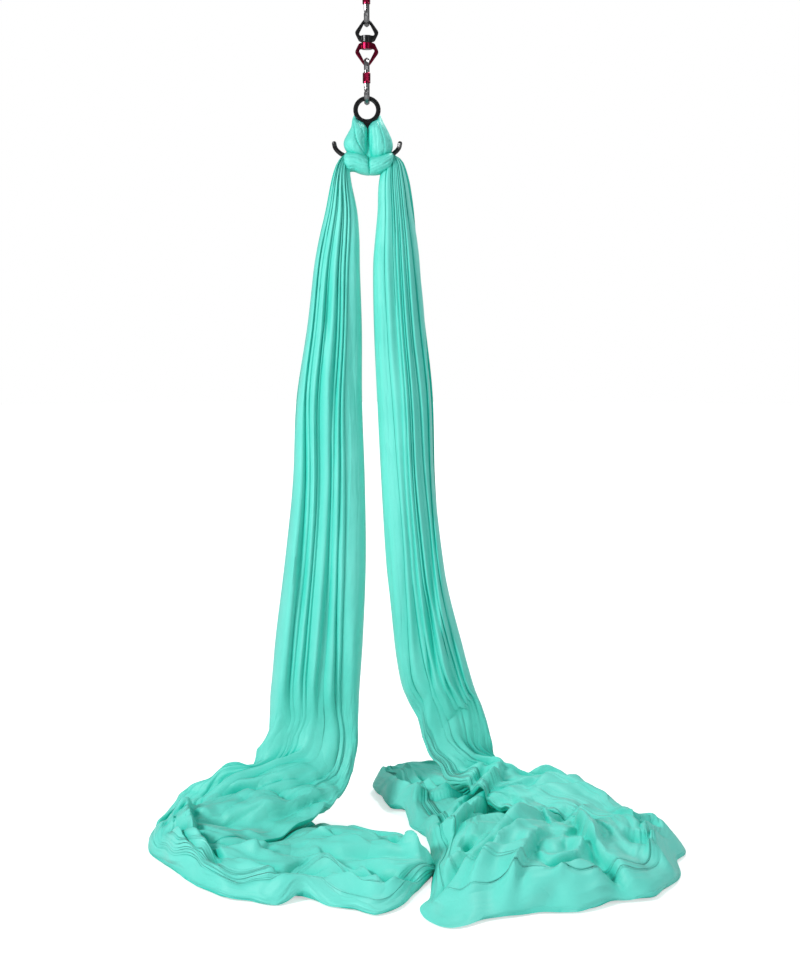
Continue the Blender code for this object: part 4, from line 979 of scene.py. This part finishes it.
def even_out(grid, panel_side):
    """Evens the side from row to row, and where it is loose also across the panel."""
    loose = soft_step(*LIES_LOOSE, grid[:, :, 2:3] - FLOOR_Z)
    wide = np.arange(WIDE_COLUMNS - 2) + 1
    wide += grid.shape[1] - BACK_HALF - WIDE_COLUMNS if panel_side > 0 else BACK_HALF
    for _ in range(EVENING_PASSES):
        evened = (grid[:-2] + 2 * grid[1:-1] + grid[2:]) / 4
        grid[1:-1] += (evened - grid[1:-1]) * np.maximum(loose[1:-1], TIGHT_EVENING)
        evened = (grid[:, wide - 1] + 2 * grid[:, wide] + grid[:, wide + 1]) / 4
        grid[:, wide] += (evened - grid[:, wide]) * ACROSS_EVENING * loose[:, wide]
    rest_on_floor(grid)


print("swells", SWELL_HEIGHT, "m high, crossed creases", CROSSED_HEIGHT, "m")

# %% [markdown]
# ## The left side
# The left tail lands behind and goes round its heap against the clock: out to the left,
# forward, and then along the front to the right, where its end is tucked in. The front's
# strips have one width as they hang and another as they lie, and a crown says how far each
# swells. The folds are listed as (crest, height, metres of rise, metres of drop), and a
# height below 0 makes a hollow.

# %% Places on the left
LEFT_RAILS = [(-0.046, 0.012, -0.372, -0.030, 0.012, -0.372, 0.007),
              (-0.056, 0.006, -0.381, -0.036, 0.006, -0.381, 0.012)]
LEFT_RAILS += tail_rails(
    [(-0.3933, -0.0650, -0.0380), (-0.413, -0.0730, -0.0400), (-0.450, -0.082, -0.035),
     (-0.507, -0.094, -0.023), (-0.570, -0.110, -0.018),
     (-0.642, -0.124, -0.017), (-0.781, -0.141, -0.013),
     (-0.944, -0.165, -0.013), (-1.132, -0.176, -0.007), (-1.323, -0.197, -0.005),
     (-1.500, -0.220, -0.012), (-1.620, -0.232, -0.020)],
    [0.018, 0.025, 0.031, 0.038, 0.043, 0.046, 0.050, 0.053, 0.055, 0.057, 0.057, 0.055])
LEFT_RAILS += floor_rails([
    (-0.248, -0.01, 0.190, -0.028, -0.02, 0.180, 0.044),
    (-0.275, -0.02, 0.120, -0.038, -0.05, 0.118, 0.036),
    (-0.345, -0.03, 0.080, -0.062, -0.10, 0.090, 0.034),
    (-0.425, -0.05, 0.050, -0.105, -0.19, 0.070, 0.033),
    (-0.475, -0.10, 0.026, -0.175, -0.26, 0.060, 0.034),
    (-0.493, -0.18, 0.014, -0.265, -0.31, 0.054, 0.035),
    (-0.475, -0.28, 0.010, -0.335, -0.345, 0.050, 0.034),
    (-0.420, -0.385, 0.009, -0.345, -0.350, 0.044, 0.033),
    (-0.335, -0.485, 0.008, -0.290, -0.290, 0.030, 0.037),
    (-0.220, -0.550, 0.008, -0.215, -0.205, 0.022, 0.042),
    (-0.120, -0.545, 0.008, -0.120, -0.140, 0.020, 0.044),
    (-0.020, -0.595, 0.008, -0.030, -0.160, 0.020, 0.044),
    (0.062, -0.575, 0.008, 0.060, -0.205, 0.020, 0.040),
    (0.120, -0.495, 0.008, 0.112, -0.270, 0.018, 0.032),
    (0.146, -0.430, 0.008, 0.142, -0.340, 0.010, 0.016),
    (0.153, -0.405, 0.006, 0.151, -0.365, 0.006, 0.006),
    (0.155, -0.393, 0.004, 0.154, -0.377, 0.004, 0.002),
])
LEFT_FRONT = [1.9, .6, 1.1, .5, 1.5, .5, 1.0, .8, 3.0]
LEFT_LAID = [2.2, .12, 1.0, .12, .6, .12, .12, 1.2, 8.5]
LEFT_CROWNS = [.40, .10, .50, .30, .55, .12, .48, .40, .14]
LEFT_FOLDS = [
    ([(-0.080, -0.030), (-0.190, -0.080), (-0.300, -0.090), (-0.400, -0.130)],
     0.016, 0.040, 0.012),
    ([(-0.060, -0.080), (-0.170, -0.170), (-0.290, -0.230)], 0.016, 0.045, 0.014),
    ([(-0.190, -0.130), (-0.280, -0.130)], -0.020, 0.018, 0.016),
    ([(-0.410, -0.110), (-0.412, -0.220), (-0.385, -0.340), (-0.335, -0.430), (-0.250, -0.500)],
     0.022, 0.040, 0.013),
    ([(-0.450, -0.180), (-0.435, -0.300), (-0.395, -0.390), (-0.330, -0.475)], 0.014, 0.024, 0.010),
    ([(-0.343, -0.400), (-0.300, -0.470)], -0.020, 0.014, 0.016),
    ([(-0.300, -0.440), (-0.168, -0.520), (-0.060, -0.530)], 0.018, 0.030, 0.011),
    ([(-0.220, -0.320), (-0.244, -0.438)], 0.012, 0.024, 0.014),
    ([(-0.122, -0.345), (-0.086, -0.441), (0.002, -0.500)], 0.018, 0.035, 0.014),
    ([(-0.021, -0.440), (0.045, -0.560)], 0.014, 0.026, 0.012),
    ([(0.037, -0.250), (0.078, -0.377)], -0.020, 0.024, 0.016),
    ([(0.075, -0.280), (0.125, -0.430)], 0.018, 0.024, 0.014),
    ([(0.022, -0.470), (0.078, -0.510), (0.120, -0.460)], -0.020, 0.016, 0.018),
    ([(0.040, -0.560), (0.120, -0.475)], 0.014, 0.020, 0.012),
    ([(-0.150, -0.250), (-0.050, -0.330), (0.020, -0.360)], 0.012, 0.030, 0.012),
]
LEFT_SHUT = [(0, 0), (1.30, 0), (1.55, 0.45), (1.75, 0.9), (1.90, 1), (2.40, 1)]
print("left:", len(LEFT_RAILS), "places and", len(LEFT_FOLDS), "drawn folds")

# %% [markdown]
# ## The right side
# The right tail lands and runs out to the right. Then it swings forward and back to the
# left in one wide fan, whose inner rail stays short while the outer one goes all the way
# round. The last of the cloth lies at the back on the left.

# %% Places on the right
RIGHT_RAILS = [(0.034, 0.012, -0.372, 0.052, 0.012, -0.372, 0.007),
               (0.040, 0.006, -0.381, 0.063, 0.006, -0.381, 0.012)]
RIGHT_RAILS += tail_rails(
    [(-0.3933, 0.0400, 0.0770), (-0.423, 0.0300, 0.0850), (-0.460, 0.025, 0.0920),
     (-0.507, 0.024, 0.098), (-0.570, 0.018, 0.108), (-0.642, 0.013, 0.117),
     (-0.781, 0.015, 0.131), (-0.944, 0.022, 0.148), (-1.132, 0.031, 0.156),
     (-1.323, 0.042, 0.177), (-1.419, 0.052, 0.194), (-1.565, 0.068, 0.233),
     (-1.663, 0.090, 0.262)],
    [0.018, 0.026, 0.031, 0.037, 0.043, 0.046, 0.050, 0.053, 0.055, 0.057, 0.057, 0.050, 0.042])
RIGHT_RAILS += floor_rails([
    (0.132, -0.01, 0.185, 0.290, 0.02, 0.185, 0.034),
    (0.160, -0.03, 0.132, 0.306, 0.03, 0.132, 0.032),
    (0.215, -0.08, 0.104, 0.350, 0.05, 0.090, 0.034),
    (0.280, -0.13, 0.090, 0.480, 0.06, 0.050, 0.038),
    (0.350, -0.17, 0.082, 0.578, 0.02, 0.026, 0.040),
    (0.420, -0.20, 0.076, 0.655, -0.12, 0.014, 0.040),
    (0.465, -0.22, 0.072, 0.703, -0.21, 0.010, 0.038),
    (0.480, -0.22, 0.070, 0.718, -0.29, 0.009, 0.038),
    (0.470, -0.21, 0.068, 0.672, -0.42, 0.008, 0.040),
    (0.450, -0.20, 0.066, 0.594, -0.53, 0.008, 0.042),
    (0.420, -0.18, 0.062, 0.458, -0.575, 0.008, 0.044),
    (0.390, -0.15, 0.056, 0.328, -0.615, 0.008, 0.044),
    (0.360, -0.11, 0.048, 0.190, -0.650, 0.008, 0.044),
    (0.330, -0.06, 0.040, 0.122, -0.585, 0.008, 0.042),
    (0.310, 0.00, 0.036, 0.150, -0.370, 0.008, 0.042),
    (0.300, 0.06, 0.034, 0.136, -0.180, 0.009, 0.042),
    (0.275, 0.11, 0.034, 0.083, -0.040, 0.012, 0.040),
    (0.225, 0.17, 0.036, 0.033, 0.070, 0.016, 0.038),
    (0.150, 0.215, 0.034, 0.010, 0.160, 0.018, 0.034),
    (0.085, 0.240, 0.024, 0.008, 0.210, 0.018, 0.018),
    (0.058, 0.247, 0.010, 0.012, 0.230, 0.010, 0.007),
    (0.042, 0.248, 0.006, 0.024, 0.242, 0.006, 0.002),
])
RIGHT_FRONT = [2.7, 1.8, .7, 1.3, .5, 1.1, .6, 1.2, 1.1]
RIGHT_LAID = [9.0, .10, .08, .10, 1.1, .08, .10, .08, 2.2]
RIGHT_CROWNS = [.14, .30, .12, .50, .30, .52, .14, .46, .36]
RIGHT_FOLDS = [
    ([(0.110, -0.640), (0.171, -0.560), (0.246, -0.460), (0.321, -0.320), (0.397, -0.236),
      (0.480, -0.200)], 0.028, 0.050, 0.016),
    ([(0.185, -0.650), (0.262, -0.500), (0.337, -0.360), (0.421, -0.285)], 0.020, 0.040, 0.014),
    ([(0.400, -0.330), (0.350, -0.420), (0.310, -0.540), (0.285, -0.640)], 0.024, 0.035, 0.014),
    ([(0.600, -0.560), (0.545, -0.500), (0.495, -0.390), (0.470, -0.210)], 0.030, 0.055, 0.015),
    ([(0.322, 0.020), (0.300, -0.080), (0.244, -0.140), (0.200, -0.240), (0.170, -0.330)],
     0.022, 0.035, 0.014),
    ([(0.290, 0.000), (0.262, -0.050), (0.212, -0.100), (0.178, -0.190)], 0.012, 0.020, 0.010),
    ([(0.238, -0.320), (0.215, -0.370)], -0.030, 0.022, 0.022),
    ([(0.430, -0.350), (0.460, -0.410), (0.445, -0.470), (0.395, -0.490), (0.365, -0.440)],
     0.018, 0.020, 0.011),
    ([(0.560, -0.330), (0.650, -0.360)], -0.018, 0.020, 0.014),
    ([(0.590, -0.280), (0.675, -0.230)], -0.016, 0.018, 0.016),
    ([(0.610, -0.430), (0.640, -0.330), (0.695, -0.280)], 0.016, 0.025, 0.012),
    ([(0.360, 0.030), (0.500, 0.010), (0.600, -0.070)], 0.012, 0.030, 0.012),
    ([(0.360, -0.040), (0.500, -0.060), (0.600, -0.170)], 0.014, 0.030, 0.012),
    ([(0.370, -0.550), (0.460, -0.510), (0.560, -0.520)], 0.010, 0.030, 0.012),
    ([(0.060, 0.220), (0.120, 0.080), (0.180, 0.000)], 0.014, 0.028, 0.014),
    ([(0.030, 0.150), (0.100, 0.020), (0.165, -0.080)], 0.013, 0.026, 0.014),
    ([(0.160, -0.480), (0.200, -0.420), (0.230, -0.400)], 0.014, 0.030, 0.012),
]
RIGHT_SHUT = [(0, 0), (1.45, 0), (1.70, 0.6), (1.85, 1), (2.45, 1), (2.70, 0.3), (3.1, 0.3)]
print("right:", len(RIGHT_RAILS), "places and", len(RIGHT_FOLDS), "drawn folds")

# %% [markdown]
# Both sides are now laid. The area says whether the cloth is all there. It comes to about
# nine tenths of the length times the cut width. The rest is missing at the tie and at the
# ends, where the bundle is drawn together and can't hold all its layers.

# %% Laying both sides
CLOTH_WIDTH = 2.8


def cloth_area(grid):
    """The area of a side's surface, in square metres."""
    across, along = np.diff(grid, axis=1)[:-1], np.diff(grid, axis=0)[:, :-1]
    return float(np.linalg.norm(np.cross(across, along), axis=-1).sum())


SIDES = {  # rails, strips hanging, strips laid, crowns, panel's side, seed, slack from, shut
    "left": ((LEFT_RAILS, LEFT_FRONT, LEFT_LAID, LEFT_CROWNS, 1, 3, 1.22, LEFT_SHUT),
             LEFT_FOLDS, left_flow),
    "right": ((RIGHT_RAILS, RIGHT_FRONT, RIGHT_LAID, RIGHT_CROWNS, -1, 40, 1.20, RIGHT_SHUT),
              RIGHT_FOLDS, right_flow),
}
laid = {}
for side, (settings, folds, flow) in SIDES.items():
    panel_side, seed = settings[4:6]
    grid, places, slack = swept_side(*settings)
    grid = creased(grid, places, slack, seed, folds, flow)
    even_out(grid, panel_side)
    laid[side] = grid, places
    print(side, "rows and columns", grid.shape[:2], "length", round(float(places[-1]), 3),
          "m, area", round(cloth_area(grid), 2), "of", round(CLOTH_WIDTH * float(places[-1]), 2))

# %% [markdown]
# ## The tie
# The middle of the cloth is pulled through the figure eight's lower ring, spread over it and
# drawn tight: two straps come down from under the small ring, and the two turns that hold
# them lie across below, above the tails. Each is gathered cloth under tension, so it is
# round and firm with crisp grooves where two folds meet. So it is made as a closed bundle
# between two rails, as the tails are, but without hidden folds: nobody can look into it.

# %% Straps and turns
TIE_STEP = 0.0012
FRONT_COLUMNS = 70
ROUND_COLUMNS = 30
TIE_OVAL = (2.2, 0.5)  # powers of a tie bundle's outline: fuller than an ellipse
GROOVE_WIDTH = 0.0022
GROOVE_FADE = 6  # power: a groove keeps its depth until close to the bundle's edge
LIP_SHARE, LIP_REACH = 0.45, 0.005  # how far the cloth stands up beside a groove
WRINKLE = 0.0007
WRINKLES_ACROSS, WRINKLES_ALONG = 300, 9  # a metre across, and over the bundle's length
WRINKLE_SLANT = 4


def cloth_piece(mesh, cloth_places):
    """An object in mint tricot from a mesh and each point's place on the cloth in metres."""
    mesh.shade_smooth()
    corner = np.empty(len(mesh.loops), int)
    mesh.loops.foreach_get("vertex_index", corner)
    mesh.uv_layers.new(name="cloth").data.foreach_set("uv", cloth_places[corner].ravel())
    mesh.materials.append(MINT)
    piece = bpy.data.objects.new(mesh.name, mesh)
    bpy.context.scene.collection.objects.link(piece)
    return piece


def creased_bundle(name, rows, creases, seed):
    """A firm bundle of cloth between two rails, closed all round, with grooves along it.
    creases lists (share of the width at the start, at the end, depth)."""
    rows, places = smooth_rows(rows, 0, TIE_STEP)
    front = -np.cos(np.linspace(0, math.pi, FRONT_COLUMNS))
    back = np.cos(np.linspace(0, math.pi, ROUND_COLUMNS))[1:-1]
    across = np.concatenate([front, back])
    side = np.concatenate([np.ones(FRONT_COLUMNS), -np.ones(ROUND_COLUMNS - 2)])
    grid = []
    for row, gone in zip(rows, places / places[-1]):
        left, right, half_depth = row[0:3], row[3:6], row[6]
        width = np.linalg.norm(right - left)
        sideways = (right - left) / width
        outward = np.cross(sideways, np.cross([0, -1.0, 0], sideways))
        out = half_depth * (1 - np.abs(across) ** TIE_OVAL[0]) ** TIE_OVAL[1]
        share = (across + 1) / 2
        for start, end, depth in creases:
            away = (share - start - (end - start) * gone) * width
            lip = LIP_SHARE * np.exp(-np.maximum(away, 0) / LIP_REACH) * (away > 0)
            groove = np.exp(-np.abs(away) / GROOVE_WIDTH) - lip
            out = out - depth * groove * (1 - np.abs(across) ** GROOVE_FADE)
        slanted = share * width * WRINKLES_ACROSS + gone * WRINKLE_SLANT
        out = out + WRINKLE * noise_on(slanted, np.full_like(share, gone * WRINKLES_ALONG), seed)
        middle = (left + right) / 2
        grid.append(middle + (across * width / 2)[:, None] * sideways
                    + (side * out)[:, None] * outward)
    grid = np.array(grid)
    rows_made, columns = grid.shape[:2]
    index = np.arange(rows_made * columns).reshape(rows_made, columns)
    after = np.roll(index, -1, axis=1)
    faces = np.stack([index[:-1], after[:-1], after[1:], index[1:]], -1).reshape(-1, 4).tolist()
    faces += [index[0][::-1].tolist(), index[-1].tolist()]
    mesh = bpy.data.meshes.new(name)
    mesh.from_pydata(grid.reshape(-1, 3).tolist(), [], faces)
    return cloth_piece(mesh, grid.reshape(-1, 3)[:, [0, 2]])


print("a groove is", GROOVE_WIDTH, "m wide, and wrinkles are", WRINKLE, "m high")

# %% [markdown]
# The places of the straps and turns were read off the photograph. A strap starts at the
# back and comes forward on its way down, and the two turns meet in the middle. A groove is
# listed with its share of the width at the start and at the end, and its depth. It may
# start or end outside the bundle, and then it only crosses a part of it.

# %% Places of the straps and turns
TIE = {
    "tie_core": ([(-0.016, 0.016, -0.299, 0.016, 0.016, -0.299, 0.007),
                  (-0.026, 0.013, -0.318, 0.026, 0.013, -0.318, 0.014),
                  (-0.044, 0.010, -0.350, 0.046, 0.010, -0.350, 0.021),
                  (-0.046, 0.008, -0.380, 0.050, 0.008, -0.380, 0.024),
                  (-0.040, 0.008, -0.405, 0.046, 0.008, -0.405, 0.022),
                  (-0.024, 0.006, -0.420, 0.030, 0.006, -0.420, 0.013)],
                 [(0.3, 0.35, 0.002), (0.5, 0.5, 0.003), (0.7, 0.66, 0.002)]),
    "left_strap": ([(-0.031, 0.021, -0.290, -0.003, 0.021, -0.299, 0.008),
                    (-0.034, 0.006, -0.301, -0.002, 0.007, -0.313, 0.014),
                    (-0.0365, 0, -0.3180, 0.0015, 0, -0.323, 0.022),
                    (-0.0440, 0, -0.3320, 0.0020, 0, -0.338, 0.027),
                    (-0.0530, 0, -0.3500, 0.0020, 0, -0.357, 0.031),
                    (-0.0520, 0, -0.3650, 0.0030, 0, -0.374, 0.030),
                    (-0.042, 0.002, -0.381, 0.004, 0.002, -0.390, 0.024)],
                   [(-0.15, 0.95, 0.0035), (0.30, 1.35, 0.0020), (-0.9, 0.42, 0.0020),
                    (0.62, 0.90, 0.0012)]),
    "right_strap": ([(0.004, 0.021, -0.299, 0.031, 0.021, -0.290, 0.008),
                     (0.004, 0.007, -0.313, 0.0345, 0.006, -0.3005, 0.014),
                     (0.003, 0, -0.321, 0.0410, 0, -0.3140, 0.021),
                     (0.002, 0, -0.336, 0.0500, 0, -0.3310, 0.026),
                     (0.002, 0, -0.356, 0.0575, 0, -0.3490, 0.030),
                     (0.003, 0, -0.376, 0.0590, 0, -0.3660, 0.030),
                     (0.006, 0.002, -0.392, 0.052, 0.002, -0.383, 0.024)],
                    [(0.20, 0.10, 0.0016), (0.45, 0.36, 0.0010), (0.70, 0.66, 0.0022),
                     (1.00, 0.84, 0.0018)]),
    "left_turn": ([(-0.0540, 0.004, -0.383, -0.0540, 0.004, -0.400, 0.010),
                   (-0.0500, 0, -0.3770, -0.0520, 0, -0.4090, 0.025),
                   (-0.0400, 0, -0.3718, -0.0440, 0, -0.4190, 0.032),
                   (-0.0240, 0, -0.3712, -0.0300, 0, -0.4192, 0.035),
                   (-0.0080, 0, -0.3772, -0.0130, 0, -0.4252, 0.035),
                   (0.0020, 0, -0.3840, 0.0040, 0, -0.4275, 0.031),
                   (0.0060, 0.002, -0.391, 0.0060, 0.002, -0.4240, 0.020)],
                  [(0.30, 0.40, 0.0012), (0.62, 0.55, 0.0018), (0.80, 0.86, 0.0020),
                   (0.10, 0.18, 0.0010)]),
    "right_turn": ([(0.0000, 0.002, -0.392, 0.0000, 0.002, -0.424, 0.020),
                    (0.0070, 0, -0.3850, 0.0080, 0, -0.4272, 0.032),
                    (0.0200, 0, -0.3815, 0.0220, 0, -0.4268, 0.036),
                    (0.0360, 0, -0.3780, 0.0380, 0, -0.4228, 0.036),
                    (0.0500, 0, -0.3750, 0.0520, 0, -0.4152, 0.032),
                    (0.0590, 0, -0.3775, 0.0590, 0, -0.4030, 0.024),
                    (0.0620, 0.003, -0.384, 0.0615, 0.003, -0.394, 0.010)],
                   [(0.50, 0.10, 0.0016), (0.66, 0.26, 0.0018), (0.80, 0.46, 0.0020),
                    (0.90, 0.70, 0.0018), (0.25, -0.10, 0.0012)]),
}
tie_pieces = []
for seed, (name, (rows, creases)) in enumerate(TIE.items()):
    piece = creased_bundle(name, rows, creases, 200 + seed)
    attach(piece, "eight")
    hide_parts("fabric_wrap")
    tie_pieces.append(piece.name)
print("tie:", tie_pieces)

# %% [markdown]
# Each side becomes a sheet with cloth coordinates in metres, over its share of the cut: the
# whole width, and the length that its rails run from the tie to its end. It hangs in the tie.

# %% The two sides as sheets
CREASE_ANGLE = 60  # a fold sharper than this keeps a crisp edge
HANGING_ROW = 60  # a row down the tail, to measure the cut's width on

for side, (grid, places) in laid.items():
    rows, columns = grid.shape[:2]
    index = np.arange(rows * columns).reshape(rows, columns)
    faces = np.stack([index[:-1, :-1], index[:-1, 1:], index[1:, 1:], index[1:, :-1]], -1)
    mesh = bpy.data.meshes.new(f"{side}_cloth")
    mesh.from_pydata(grid.reshape(-1, 3).tolist(), [], faces.reshape(-1, 4).tolist())
    across = np.linalg.norm(np.diff(grid[[HANGING_ROW, rows * 2 // 3]], axis=1), axis=2)
    across = (across / across.sum(axis=1, keepdims=True)).mean(axis=0)
    spread = CLOTH_WIDTH * np.concatenate([[0], np.cumsum(across)])
    piece = cloth_piece(mesh, np.stack([np.tile(spread, rows), np.repeat(places, columns)], 1))
    mesh.set_sharp_from_angle(angle=math.radians(CREASE_ANGLE))
    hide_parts(f"{side}_tail", f"{side}_pool")
    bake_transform(piece)
    print(side, "sheet", CLOTH_WIDTH, "by", round(float(places[-1]), 2), "m")
